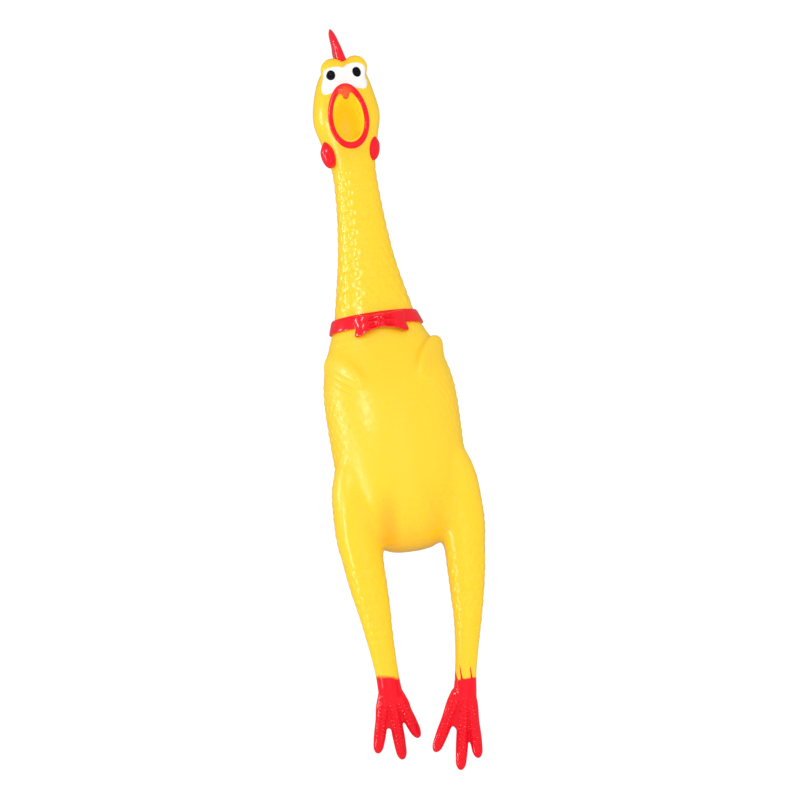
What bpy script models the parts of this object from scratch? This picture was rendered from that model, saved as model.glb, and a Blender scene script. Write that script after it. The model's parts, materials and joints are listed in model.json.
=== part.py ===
"""Rubber chicken, a hollow vinyl squeeze toy with a reed squeaker in its throat.

Run it with: blender --background --python part.py

Sizes are in millimetres, and each mesh is turned into metres once, when it becomes an object.
+Z runs up the neck, the face looks along -Y, and the toy's own left side is +X.
The origin is the middle of the torso, where a hand grips it.

The vinyl skin is parted where it flexes. At each parting the piece that moves ends in a ball
that sits in the hollow of its neighbour, and both are cut back by half of the bend's range.
"""

import math

import bmesh
import bpy
from mathutils import Matrix, Vector

MM = 0.001

# Driving sizes, in millimetres
WALL = 2.2  # vinyl of the torso, neck and head
LEG_WALL = 1.9
GAP = 0.3  # between neighbours that touch on the real toy
HINGE_GAP = 0.45  # between the cut ends of two skin segments
BALL_GAP = 0.7  # between a joint's ball and the hollow that it sits in
NECK_AIR_HOLE = 2.4  # radius of the air passage through each ball
LEG_AIR_HOLE = 1.4
BODY_SIDES = 26
LEG_SIDES = 16
BALL_SIDES = 14
TOE_SIDES = 10

# Pivots of the flexing places in the trunk
NECK_BASE = Vector((-1.5, 3.0, 86))
NECK_MID = Vector((-1.2, 1.7, 110))
HEAD_PIVOT = Vector((-0.9, 0.6, 133))
HIP_Z = -72
KNEE_Z = -98

# Largest bend either way, in degrees
NECK_BEND = 35
NECK_SWAY = 30
HEAD_NOD = 35
HIP_SWING = 50
KNEE_BEND = 55
ANKLE_FLEX = 35

# Trunk from the rump up to the crown: height, x, y, half width, half depth
TRUNK = [
    (-59.4, 0, 0.0, 5.0, 5.0),
    (-57.6, 0, -0.4, 13.5, 12.5),
    (-52.0, 0, -1.2, 21.5, 20.5),
    (-42.0, 0, -2.4, 28.4, 27.2),
    (-28.0, 0, -3.6, 32.8, 31.6),
    (-12.0, 0, -4.0, 34.6, 32.2),
    (6.0, 0, -4.0, 35.2, 32.0),
    (24.0, 0, -2.8, 35.2, 29.6),
    (38.0, -0.2, -0.8, 33.2, 26.4),
    (49.0, -0.7, 1.0, 29.4, 23.4),
    (58.0, -1.2, 2.2, 25.2, 21.8),
    (66.0, -1.5, 2.8, 22.0, 20.4),
    (75.0, -1.5, 3.0, 19.8, 19.0),
    (86.0, -1.5, 3.0, 17.5, 17.2),
    (98.0, -1.4, 2.4, 15.2, 15.1),
    (110.0, -1.2, 1.7, 13.6, 13.5),
    (122.0, -1.0, 1.0, 12.4, 12.4),
    (133.0, -0.9, 0.6, 11.7, 11.7),
    (145.0, -0.9, 0.2, 11.4, 11.6),
    (154.0, -1.0, -0.6, 12.8, 13.2),
    (164.0, -1.1, -1.4, 15.6, 15.6),
    (175.0, -0.9, -1.8, 18.0, 17.0),
    (187.0, -0.1, -1.4, 15.8, 16.2),
    (197.0, 0.5, -0.6, 12.4, 13.8),
    (203.0, 0.8, 0.4, 9.0, 11.0),
    (205.8, 0.9, 1.6, 4.6, 6.4),
]

# Thigh and shank on the toy's own left: height, x, y, half width, half depth.
# The right shank is given on the same side and is mirrored.
THIGH = [
    (-1.0, 22.0, -11.0, 4.0, 5.0),
    (-8.0, 24.0, -11.4, 9.6, 11.4),
    (-22.0, 26.0, -10.6, 12.6, 14.0),
    (-36.0, 27.0, -9.4, 12.8, 14.4),
    (-50.0, 27.7, -8.0, 12.2, 13.2),
    (-62.0, 27.3, -6.6, 10.9, 11.8),
    (-72.0, 26.6, -5.4, 10.1, 10.6),
    (-80.0, 25.9, -4.6, 9.4, 9.8),
]
LEFT_SHANK = [
    (-89.0, 24.9, -4.0, 8.5, 8.8),
    (-98.0, 23.8, -3.5, 7.5, 7.8),
    (-114.0, 20.9, -2.8, 6.3, 6.5),
    (-127.0, 18.3, -2.4, 5.8, 6.1),
    (-136.0, 16.6, -2.2, 6.2, 6.1),
    (-142.0, 15.6, -2.1, 6.4, 4.6),
]
RIGHT_SHANK = [
    (-89.0, 25.0, -3.0, 8.5, 8.8),
    (-98.0, 24.4, -1.2, 7.5, 7.8),
    (-112.0, 23.3, 2.4, 6.5, 6.7),
    (-122.0, 22.6, 5.2, 6.1, 6.2),
    (-130.0, 22.2, 7.4, 6.3, 6.1),
    (-136.0, 22.0, 9.0, 6.5, 4.6),
]

# Feet: the ankle's height, the lean of the foot towards +X and its backward pitch in degrees,
# and each toe as a bearing from the foot's middle line and a length from the ankle
LEFT_FOOT = {"ankle_z": -127, "lean": -11.5, "pitch": 0, "toes": [(-18.5, 44), (0, 50), (10.5, 45)]}
RIGHT_FOOT = {"ankle_z": -122, "lean": 2.5, "pitch": 14, "toes": [(-16.5, 43), (0, 47), (15.5, 38)]}
TOE_ROOT_RADIUS, TOE_TIP_RADIUS = 3.7, 3.0
TOE_START = 12
WEB_SHARE = 0.58  # of a toe's length, as far as the web reaches
WEB_THICK = 4.6

# Head features. The brows, then the eyes, are measured from their own middle line.
BROW_MIDDLE, BROW_CENTRE, BROW_RADIUS = 1.2, Vector((6.0, -6.4, 200.6)), 6.7
EYES_MIDDLE = 0.2
MOUTH = {"x": -1.8, "y": -25.5, "z": 171.7, "half_width": 9.6, "half_height": 16.1, "tube": 1.4}
MOUTH_EGG = 0.08  # how much narrower the beak is at its top
LIP_SWELL, LIP_SWELL_REACH = 0.8, 4.0  # the lip's extra thickness at its top
MOUTH_FLARE = [(-2.0, 0.9), (-12.0, 0.94), (-19.0, 0.98), (-25.5, 1.0)]
MOUTH_INSIDE = [
    (7.0, 0.34, -2.0),
    (4.5, 0.62, -1.6),
    (-2.0, 0.78, -1.0),
    (-12.0, 0.81, -0.4),
    (-32.0, 0.83, 0.0),
]
MASK_THICK = 0.9
MASK_EDGE = [
    (0, 201.2), (3.4, 202.2), (8.2, 202.4), (11.2, 200.0), (12.2, 194.8), (11.6, 188.6),
    (8.8, 185.8), (4.6, 187.2), (0, 189.4),
]
PUPIL_CENTRE, PUPIL_RADII = Vector((6.8, -14.7, 197.2)), Vector((2.3, 1.8, 2.8))
WATTLE_CENTRE, WATTLE_RADII = Vector((11.6, -5.0, 156.0)), Vector((4.6, 5.2, 7.9))
BEAK_TIP_RADII = Vector((2.8, 2.0, 3.6))

# Comb, a fin along the crown: (y, z) of its edge from the brow to the nape, and its lean in degrees
COMB_THICK = 5.4
COMB_X = 1.0
COMB_LEAN = -10
COMB_ROUNDING = 1.6
COMB_EDGE = [
    (-6.5, 203.0), (-8.4, 208.5), (-7.0, 216.5), (-3.4, 222.6), (-0.2, 224.4), (2.2, 221.6),
    (3.4, 215.8), (5.6, 218.6), (7.6, 217.0), (8.4, 211.4), (10.6, 212.6), (12.4, 209.0), (10.8, 201.5),
]

# Collar and bow tie
COLLAR_LOW, COLLAR_HIGH = 60.8, 68.2
COLLAR_THICK, BOW_THICK = 1.6, 3.2
BOW_X, BOW_Z = -0.4, 62.6
BOW_EDGE = [
    (0, 4.4), (4.5, 4.2), (12.6, 5.0), (14.4, 3.2), (13.6, -1.6), (14.6, -5.6),
    (12.8, -6.8), (7.0, -4.6), (0, -3.4),
]

# Stub wings and tail
WING_ROOT, WING_TIP = Vector((32.5, 0.0, 50.0)), Vector((15.5, -29.0, 30.5))
WING_HALF_WIDTH, WING_HALF_THICK = 9.4, 4.6
TAIL_CENTRE, TAIL_RADII, TAIL_RISE = Vector((0, 25.5, -38.0)), Vector((8.0, 11.5, 6.0)), 28

# Belly wall that gives way when the toy is squeezed
BELLY_Z, BELLY_HALF_HEIGHT, BELLY_HALF_WIDTH, BELLY_CLEARANCE = -2.0, 23.0, 17.0, 0.6

# Squeaker, a short reed pipe that stands in the throat
PIPE_AXIS, SEAT_Z = Vector((-1.0, -1.0, 0)), 157.4
PIPE_OUTER, PIPE_INNER, PIPE_LENGTH = 6.2, 5.0, 14.0
FLANGE_RADIUS, FLANGE_THICK = 7.6, 1.4
BORE_CLEARANCE, BORE_LENGTH = 0.4, 15.4
BOARD_RADIUS, BOARD_LENGTH, BOARD_FACE, BOARD_GROOVE = 4.7, 12.4, 0.8, Vector((3.4, 2.0, 10.0))
REED_WIDTH, REED_THICK, REED_LENGTH = 5.6, 0.4, 11.4
CLAMP_HEIGHT = 4.0

COLOURS = {
    "yellow_vinyl": ((1.0, 0.68, 0.03), 0.3),
    "red_paint": ((0.85, 0.02, 0.04), 0.25),
    "white_paint": ((0.9, 0.9, 0.88), 0.35),
    "black_paint": ((0.01, 0.01, 0.012), 0.2),
    "squeaker_plastic": ((0.9, 0.88, 0.8), 0.4),
    "reed_film": ((0.75, 0.8, 0.85), 0.3),
}


# Materials, pivots and objects


def clear_scene():
    for old in list(bpy.data.objects):
        bpy.data.objects.remove(old, do_unlink=True)


def material(name):
    """The Principled material of that name, made once."""
    found = bpy.data.materials.get(name)
    if found:
        return found
    colour, roughness = COLOURS[name]
    made = bpy.data.materials.new(name)
    made.use_nodes = True
    shader = made.node_tree.nodes["Principled BSDF"]
    shader.inputs["Base Color"].default_value = (*colour, 1.0)
    shader.inputs["Roughness"].default_value = roughness
    shader.inputs["Metallic"].default_value = 0.0
    made.diffuse_color = (*colour, 1.0)
    return made


def pivot(name, at, parent=None):
    """An empty on a joint's axis, which carries the pieces that move with it."""
    empty = bpy.data.objects.new(name, None)
    bpy.context.scene.collection.objects.link(empty)
    empty.empty_display_size = 0.01
    empty.location = (at - (parent["at"] if parent else Vector())) * MM
    if parent:
        empty.parent = parent["empty"]
    return {"empty": empty, "at": at.copy()}


def to_object(bm, name, origin):
    """A bmesh in millimetres becomes an object in metres, its mesh measured from origin."""
    bmesh.ops.translate(bm, vec=-origin, verts=bm.verts)
    bmesh.ops.scale(bm, vec=Vector((MM, MM, MM)), verts=bm.verts)
    bmesh.ops.recalc_face_normals(bm, faces=bm.faces)
    mesh = bpy.data.meshes.new(name)
    bm.to_mesh(mesh)
    bm.free()
    made = bpy.data.objects.new(name, mesh)
    bpy.context.scene.collection.objects.link(made)
    return made


def piece(bm, name, paint, body):
    """A visible sub-part, shaded smooth, with its origin on its body's pivot."""
    made = to_object(bm, name, body["at"])
    made.data.materials.append(material(paint))
    made.data.shade_smooth()
    made.data.set_sharp_from_angle(angle=math.radians(40))
    made.parent = body["empty"]
    return made


def cutter(bm, name):
    """A hidden shape for a Boolean, in world space."""
    made = to_object(bm, "cut_" + name, Vector())
    made.hide_render = True
    made.display_type = "WIRE"
    return made


def combine(target, others, operation):
    """Adds one Boolean modifier to target for each other object."""
    for other in others:
        modifier = target.modifiers.new(f"{operation.lower()} {other.name}", "BOOLEAN")
        modifier.operation = operation
        modifier.object = other
        modifier.solver = "EXACT"


# Stations and the solids made from them


def smooth(stations, steps=2):
    """Stations on a Catmull-Rom curve through the given ones."""
    made = []
    last = len(stations) - 1
    for i in range(last):
        p0, p1, p2, p3 = (stations[min(max(k, 0), last)] for k in (i - 1, i, i + 1, i + 2))
        for step in range(steps):
            t = step / steps
            made.append(tuple(
                0.5 * (2 * b + (c - a) * t + (2 * a - 5 * b + 4 * c - d) * t**2
                       + (3 * b - a - 3 * c + d) * t**3)
                for a, b, c, d in zip(p0, p1, p2, p3)
            ))
    return made + [stations[-1]]


def grown(stations, distance):
    """Stations of a skin that is that far outside the given one, or inside it if negative."""
    made = []
    for i, (z, x, y, w, d) in enumerate(stations):
        before = stations[max(i - 1, 0)]
        after = stations[min(i + 1, len(stations) - 1)]
        rise = after[0] - before[0]
        spread = (after[3] + after[4] - before[3] - before[4]) / 2
        slope = Vector((abs(rise), -spread * math.copysign(1, rise))).normalized()
        half_width = max(w + slope.x * distance, 0.6)
        half_depth = max(d + slope.x * distance, 0.6)
        made.append((z + slope.y * distance, x, y, half_width, half_depth))
    return made


def mirrored(stations):
    return [(z, -x, y, w, d) for z, x, y, w, d in stations]


def between(stations, low, high):
    """The stations in a range of heights."""
    return [s for s in stations if low <= s[0] <= high]


def at_height(stations, height):
    """The station interpolated at that height."""
    ordered = sorted(stations)
    for below, above in zip(ordered, ordered[1:]):
        if below[0] <= height <= above[0]:
            share = (height - below[0]) / (above[0] - below[0])
            return tuple(a + (b - a) * share for a, b in zip(below, above))
    raise ValueError(f"no station at {height}")


def centre_at(stations, height):
    z, x, y, *_ = at_height(stations, height)
    return Vector((x, y, z))


def radius_at(stations, height):
    return min(at_height(stations, height)[3:])


def bridge_rings(bm, rings, closed=False):
    """Joins rings of vertices into a tube with two end faces, or into a closed loop of tube."""
    edge_rings = []
    for ring in rings:
        edge_rings.append([bm.edges.new((ring[i - 1], ring[i])) for i in range(len(ring))])
    for lower, upper in zip(edge_rings, edge_rings[1:]):
        bmesh.ops.bridge_loops(bm, edges=lower + upper)
    if closed:
        bmesh.ops.bridge_loops(bm, edges=edge_rings[-1] + edge_rings[0])
    else:
        bm.faces.new(rings[0])
        bm.faces.new(rings[-1])


def loft(stations, sides):
    """A closed solid through level elliptical rings."""
    bm = bmesh.new()
    rings = []
    for z, x, y, w, d in stations:
        turns = [2 * math.pi * i / sides for i in range(sides)]
        rings.append([bm.verts.new((x + w * math.cos(t), y + d * math.sin(t), z)) for t in turns])
    bridge_rings(bm, rings)
    return bm


def ball(centre, radii, segments=BALL_SIDES):
    bm = bmesh.new()
    place = Matrix.Translation(centre) @ Matrix.Diagonal((*radii, 1))
    bmesh.ops.create_uvsphere(bm, u_segments=segments, v_segments=segments // 2, radius=1, matrix=place)
    return bm


def rod(low, radius, length, segments=20, top_radius=None):
    """A cylinder, or a cone frustum, standing on its low end."""
    bm = bmesh.new()
    bmesh.ops.create_cone(
        bm,
        cap_ends=True,
        segments=segments,
        radius1=radius,
        radius2=radius if top_radius is None else top_radius,
        depth=length,
        matrix=Matrix.Translation(low + Vector((0, 0, length / 2))),
    )
    return bm


def block(centre, size):
    bm = bmesh.new()
    place = Matrix.Translation(centre) @ Matrix.Diagonal((*size, 1))
    bmesh.ops.create_cube(bm, size=1, matrix=place)
    return bm


def prism(outline, low, high, axis):
    """An outline of (across, height) points, extruded along X or Y from low to high."""
    bm = bmesh.new()
    verts = [bm.verts.new((low, a, z) if axis == "X" else (a, low, z)) for a, z in outline]
    face = bm.faces.new(verts)
    side = bmesh.ops.extrude_face_region(bm, geom=[face])["geom"]
    step = (high - low, 0, 0) if axis == "X" else (0, high - low, 0)
    moved = [element for element in side if isinstance(element, bmesh.types.BMVert)]
    bmesh.ops.translate(bm, vec=step, verts=moved)
    return bm


def both_sides(half_edge):
    """A whole outline from its half at +X, which starts and ends on the middle line."""
    return half_edge + [(-a, z) for a, z in reversed(half_edge[1:-1])]


def oval(centre, half_width, half_height, points=28, egg=0.0):
    """An upright oval of (across, height) points. egg narrows its top."""
    made = []
    for i in range(points):
        turn = 2 * math.pi * i / points
        across = half_width * math.sin(turn) * (1 - egg * math.cos(turn))
        made.append((centre[0] + across, centre[1] + half_height * math.cos(turn)))
    return made


def mouth_ring(y, share, drop=0.0, grow=0.0, points=28):
    """The beak's egg-shaped outline at that depth, as a share of its full size."""
    half_width = MOUTH["half_width"] * share + grow
    half_height = MOUTH["half_height"] * share + grow
    outline = oval((MOUTH["x"], MOUTH["z"] + drop), half_width, half_height, points, MOUTH_EGG)
    return [Vector((x, y, z)) for x, z in outline]


# Flexing joints


def bend_cutter(name, at, degrees, keep, axis="X", reach=60.0):
    """Cuts a segment back from a hinge by half of its range, and keeps what is above or below."""
    up = 1 if keep == "above" else -1
    rise = math.tan(math.radians(degrees / 2 + 1)) * reach
    across, along = (at.y, at.x) if axis == "X" else (at.x, at.y)
    outline = [
        (across - reach, at.z + up * (rise + HINGE_GAP)),
        (across, at.z + up * HINGE_GAP),
        (across + reach, at.z + up * (rise + HINGE_GAP)),
        (across + reach, at.z - up * 1.5 * reach),
        (across - reach, at.z - up * 1.5 * reach),
    ]
    return cutter(prism(outline, along - reach, along + reach, axis), name)


def add_ball(target, at, radius):
    combine(target, [cutter(ball(at, [radius] * 3), target.name + "_ball")], "UNION")


def air_passage(target, at, radius, half_length):
    low = at - Vector((0, 0, half_length))
    combine(target, [cutter(rod(low, radius, 2 * half_length, 12), target.name + "_air")], "DIFFERENCE")


# Torso


def torso(body, trunk, legs):
    outside = between(trunk, -60, 93)
    skin = piece(loft(outside, BODY_SIDES), "torso_skin", "yellow_vinyl", body)
    thighs = [between(leg, -83, 0) for leg in legs]
    parts = [cutter(loft(thigh, LEG_SIDES), f"thigh_{i}") for i, thigh in enumerate(thighs)]
    combine(skin, [*parts, wing(1), wing(-1), tail()], "UNION")
    hollows = [cutter(loft(grown(outside, -WALL), BODY_SIDES), "torso_hollow")]
    for i, thigh in enumerate(thighs):
        inside = between(grown(thigh, -LEG_WALL), -95, -6)
        hollows.append(cutter(loft(inside, LEG_SIDES), f"thigh_hollow_{i}"))
    combine(skin, hollows, "DIFFERENCE")
    combine(skin, [bend_cutter("torso_top", NECK_BASE, NECK_BEND, "below")], "DIFFERENCE")
    for i, leg in enumerate(legs):
        at = centre_at(leg, HIP_Z)
        combine(skin, [bend_cutter(f"hip_{i}", at, HIP_SWING, "above", reach=14)], "DIFFERENCE")
    window = oval((0, BELLY_Z), BELLY_HALF_WIDTH, BELLY_HALF_HEIGHT)
    combine(skin, [cutter(prism(window, -50, -12, "Y"), "belly_window")], "DIFFERENCE")


def wing(side):
    """A stub wing folded forward against the shoulder, its tip low on the chest."""
    root = Vector((WING_ROOT.x * side, WING_ROOT.y, WING_ROOT.z))
    tip = Vector((WING_TIP.x * side, WING_TIP.y, WING_TIP.z))
    along = (tip - root).normalized()
    turn = along.to_track_quat("X", "Z").to_matrix().to_4x4()
    bm = ball(Vector(), ((tip - root).length / 2, WING_HALF_THICK, WING_HALF_WIDTH))
    bmesh.ops.transform(bm, matrix=Matrix.Translation((root + tip) / 2) @ turn, verts=bm.verts)
    return cutter(bm, f"wing_{'left' if side > 0 else 'right'}")


def tail():
    """The stub tail, which points back and a little up."""
    bm = ball(Vector(), TAIL_RADII)
    place = Matrix.Translation(TAIL_CENTRE) @ Matrix.Rotation(math.radians(TAIL_RISE), 4, "X")
    bmesh.ops.transform(bm, matrix=place, verts=bm.verts)
    return cutter(bm, "tail")


def belly(body, trunk):
    """The part of the torso's front wall that a squeeze pushes in."""
    outside = between(trunk, -50, 50)
    panel = piece(loft(outside, BODY_SIDES), "belly_panel", "yellow_vinyl", body)
    inside = grown(between(trunk, -55, 55), -WALL)
    combine(panel, [cutter(loft(inside, BODY_SIDES), "belly_hollow")], "DIFFERENCE")
    half_width = BELLY_HALF_WIDTH - BELLY_CLEARANCE
    half_height = BELLY_HALF_HEIGHT - BELLY_CLEARANCE
    outline = oval((0, BELLY_Z), half_width, half_height)
    combine(panel, [cutter(prism(outline, -50, -12, "Y"), "belly_outline")], "INTERSECT")


def trunk_sleeve(trunk, low, high, inner, outer, name, paint, body):
    """A band round the trunk between two heights and two distances from its skin."""
    around = between(trunk, low - 16, high + 16)
    sleeve = piece(loft(grown(around, outer), BODY_SIDES), name, paint, body)
    core = cutter(loft(grown(around, inner), BODY_SIDES), name + "_core")
    combine(sleeve, [core], "DIFFERENCE")
    return sleeve


def collar(body, trunk):
    band = trunk_sleeve(trunk, COLLAR_LOW, COLLAR_HIGH, GAP, COLLAR_THICK, "collar", "red_paint", body)
    middle = Vector((0, 0, (COLLAR_LOW + COLLAR_HIGH) / 2))
    slab = cutter(block(middle, (80, 80, COLLAR_HIGH - COLLAR_LOW)), "collar_slab")
    combine(band, [slab], "INTERSECT")


def bow_tie(body, trunk):
    """The moulded bow in front of the collar, its lower edge arched."""
    inner = COLLAR_THICK + GAP
    bow = trunk_sleeve(
        trunk, COLLAR_LOW, COLLAR_HIGH, inner, inner + BOW_THICK, "bow_tie", "red_paint", body
    )
    outline = [(x + BOW_X, BOW_Z + z) for x, z in both_sides(BOW_EDGE)]
    combine(bow, [cutter(prism(outline, -60, -6, "Y"), "bow_outline")], "INTERSECT")


# Neck


def neck_segment(name, body, trunk, ends, bends, axes, plug):
    """A length of neck between two hinges. Its ball and a solid plug are at the lower one."""
    lower, upper = ends
    outside = between(trunk, lower.z - 12, upper.z + 12)
    made = piece(loft(outside, BODY_SIDES), name, "yellow_vinyl", body)
    combine(made, [bend_cutter(name + "_low", lower, bends[0], "above", axes[0])], "DIFFERENCE")
    radius = radius_at(trunk, lower.z)
    add_ball(made, lower, radius - WALL - BALL_GAP)
    inside = grown(between(trunk, lower.z, upper.z + 24), -WALL)
    inside = [at_height(inside, lower.z + plug)] + between(inside, lower.z + plug + 1, 200)
    cuts = [
        cutter(loft(inside, BODY_SIDES), name + "_hollow"),
        bend_cutter(name + "_high", upper, bends[1], "below", axes[1]),
    ]
    combine(made, cuts, "DIFFERENCE")
    air_passage(made, lower, NECK_AIR_HOLE, radius + 2)


# Head


def on_face(place, side, middle):
    """A feature's place on the toy's own left (1) or right (-1) of that middle line."""
    return Vector((middle + place.x * side, place.y, place.z))


def skull_form(trunk, grow):
    return loft(grown(between(trunk, 127, 206), grow), BODY_SIDES)


def brow_forms(grow, name):
    made = []
    for side in (1, -1):
        centre = on_face(BROW_CENTRE, side, BROW_MIDDLE)
        made.append(cutter(ball(centre, [BROW_RADIUS + grow] * 3, 20), f"{name}_brow_{side}"))
    return made


def beak_form(grow, name):
    """The outside of the open beak, which is only longer by grow at its front."""
    bm = bmesh.new()
    rings = []
    for y, share in MOUTH_FLARE:
        depth = y - grow if share == 1 else y
        rings.append([bm.verts.new(point) for point in mouth_ring(depth, share, grow=grow)])
    bridge_rings(bm, rings)
    return cutter(bm, name + "_beak")


def head_forms(trunk, grow, name):
    """The skull, the two brows and the open beak, each grown by that much."""
    skull = cutter(skull_form(trunk, grow), name + "_skull")
    return [skull, *brow_forms(grow, name), beak_form(grow, name)]


def mouth_hollow():
    """The inside of the open beak, which narrows as it goes back."""
    bm = bmesh.new()
    rings = []
    for y, share, drop in MOUTH_INSIDE:
        rings.append([bm.verts.new(point) for point in mouth_ring(y, share, drop)])
    bridge_rings(bm, rings)
    return cutter(bm, "mouth")


def head(body, trunk):
    skin = piece(loft(between(trunk, 121, 206), BODY_SIDES), "head_skin", "yellow_vinyl", body)
    combine(skin, [*brow_forms(0, "head"), beak_form(0, "head")], "UNION")
    combine(skin, [bend_cutter("head_low", HEAD_PIVOT, HEAD_NOD, "above")], "DIFFERENCE")
    radius = radius_at(trunk, HEAD_PIVOT.z)
    add_ball(skin, HEAD_PIVOT, radius - WALL - BALL_GAP)
    seat = Vector((PIPE_AXIS.x, PIPE_AXIS.y, SEAT_Z))
    bore_foot = seat - Vector((0, 0, BORE_LENGTH))
    cuts = [
        mouth_hollow(),
        cutter(rod(seat, FLANGE_RADIUS + GAP, 9), "throat_seat"),
        cutter(rod(bore_foot, PIPE_OUTER + BORE_CLEARANCE, BORE_LENGTH + 1), "throat_bore"),
    ]
    combine(skin, cuts, "DIFFERENCE")
    air_passage(skin, HEAD_PIVOT, NECK_AIR_HOLE, radius + 2)


def beak_rim(body):
    """The red lip round the open beak, thicker at the top, with the beak's tip hanging into it."""
    tube = MOUTH["tube"]
    top = MOUTH["z"] + MOUTH["half_height"]
    path = mouth_ring(0, 1, points=32)
    bm = bmesh.new()
    rings = []
    for i, point in enumerate(path):
        radius = tube + LIP_SWELL * math.exp(-(((top - point.z) / LIP_SWELL_REACH) ** 2))
        point.y = MOUTH["y"] - GAP - radius
        along = path[(i + 1) % len(path)] - path[i - 1]
        outward = Vector((along.z, 0, -along.x)).normalized()
        turns = [2 * math.pi * k / 8 for k in range(8)]
        rings.append([
            bm.verts.new(point + outward * radius * math.cos(t) + Vector((0, radius * math.sin(t), 0)))
            for t in turns
        ])
    bridge_rings(bm, rings, closed=True)
    rim = piece(bm, "beak_rim", "red_paint", body)
    tip_at = Vector((MOUTH["x"], MOUTH["y"] - GAP - BEAK_TIP_RADII.y - 0.4, top - 2.0))
    combine(rim, [cutter(ball(tip_at, BEAK_TIP_RADII, 12), "beak_tip")], "UNION")


def eye_mask(body, trunk):
    """The white field round both eyes, a thin raised skin over the brows."""
    mask = piece(skull_form(trunk, MASK_THICK), "eye_mask", "white_paint", body)
    combine(mask, brow_forms(MASK_THICK, "mask_outer"), "UNION")
    outline = [(x + EYES_MIDDLE, z) for x, z in both_sides(MASK_EDGE)]
    combine(mask, [cutter(prism(outline, -40, -4, "Y"), "mask_outline")], "INTERSECT")
    combine(mask, head_forms(trunk, GAP, "mask_inner"), "DIFFERENCE")


def pupil(body, trunk, side):
    name = "left_pupil" if side > 0 else "right_pupil"
    centre = on_face(PUPIL_CENTRE, side, EYES_MIDDLE)
    dot = piece(ball(centre, PUPIL_RADII), name, "black_paint", body)
    grow = MASK_THICK + GAP
    skull = cutter(skull_form(trunk, grow), name + "_skull")
    combine(dot, [skull, *brow_forms(grow, name)], "DIFFERENCE")


def wattle(body, trunk, side):
    name = "left_wattle" if side > 0 else "right_wattle"
    centre = Vector((WATTLE_CENTRE.x * side + MOUTH["x"], WATTLE_CENTRE.y, WATTLE_CENTRE.z))
    lobe = piece(ball(centre, WATTLE_RADII), name, "red_paint", body)
    combine(lobe, head_forms(trunk, GAP, name), "DIFFERENCE")


def comb(body, trunk):
    bm = prism(COMB_EDGE, -COMB_THICK / 2, COMB_THICK / 2, "X")
    root = Vector((0, 0, COMB_EDGE[0][1]))
    lean = Matrix.Rotation(math.radians(COMB_LEAN), 4, "Y")
    place = Matrix.Translation(root + Vector((COMB_X, 0, 0))) @ lean @ Matrix.Translation(-root)
    bmesh.ops.transform(bm, matrix=place, verts=bm.verts)
    fin = piece(bm, "comb", "red_paint", body)
    rounding = fin.modifiers.new("round edge", "BEVEL")
    rounding.width = COMB_ROUNDING * MM
    rounding.segments = 2
    rounding.limit_method = "ANGLE"
    combine(fin, head_forms(trunk, GAP, "comb"), "DIFFERENCE")


# Squeaker


def squeaker_levels():
    """Heights of the pipe's foot and the reed's top, and the depth of the board's flat face."""
    foot_z = SEAT_Z + GAP + FLANGE_THICK - PIPE_LENGTH
    return foot_z, foot_z + 0.5 + BOARD_LENGTH, PIPE_AXIS.y + BOARD_FACE


def squeaker(body, reed_body):
    """A flanged pipe holding a grooved board, a clamp and the thin reed between them."""
    foot_z, reed_top, face_y = squeaker_levels()
    foot = Vector((PIPE_AXIS.x, PIPE_AXIS.y, foot_z))
    housing = piece(rod(foot, PIPE_OUTER, PIPE_LENGTH), "squeaker_housing", "squeaker_plastic", body)
    flange_at = Vector((PIPE_AXIS.x, PIPE_AXIS.y, SEAT_Z + GAP))
    combine(housing, [cutter(rod(flange_at, FLANGE_RADIUS, FLANGE_THICK), "flange")], "UNION")
    below = foot - Vector((0, 0, 1))
    combine(housing, [cutter(rod(below, PIPE_INNER, PIPE_LENGTH + 2), "pipe_bore")], "DIFFERENCE")

    board_foot = foot + Vector((0, 0, 0.8))
    board = piece(rod(board_foot, BOARD_RADIUS, BOARD_LENGTH), "tone_board", "squeaker_plastic", body)
    front = block(Vector((foot.x, face_y - 10, foot_z + 8)), (20, 20, 40))
    groove_at = Vector((foot.x, face_y, board_foot.z + BOARD_GROOVE.z / 2 - 1))
    groove = block(groove_at, (BOARD_GROOVE.x, 2 * BOARD_GROOVE.y, BOARD_GROOVE.z))
    combine(board, [cutter(front, "board_front"), cutter(groove, "board_groove")], "DIFFERENCE")

    reed_y = face_y - GAP - REED_THICK / 2
    reed_middle = Vector((foot.x, reed_y, reed_top - REED_LENGTH / 2))
    piece(block(reed_middle, (REED_WIDTH, REED_THICK, REED_LENGTH)), "reed", "reed_film", reed_body)

    clamp_foot = Vector((foot.x, foot.y, reed_top - CLAMP_HEIGHT))
    clamp = piece(rod(clamp_foot, BOARD_RADIUS, CLAMP_HEIGHT), "reed_clamp", "squeaker_plastic", body)
    behind = block(Vector((foot.x, reed_y - REED_THICK / 2 - GAP + 10, clamp_foot.z)), (20, 20, 40))
    combine(clamp, [cutter(behind, "clamp_behind")], "DIFFERENCE")


def reed_hinge():
    """The line where the clamp lets go of the reed."""
    _, reed_top, face_y = squeaker_levels()
    return Vector((PIPE_AXIS.x, face_y - GAP - REED_THICK / 2, reed_top - CLAMP_HEIGHT))


# Legs


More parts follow.
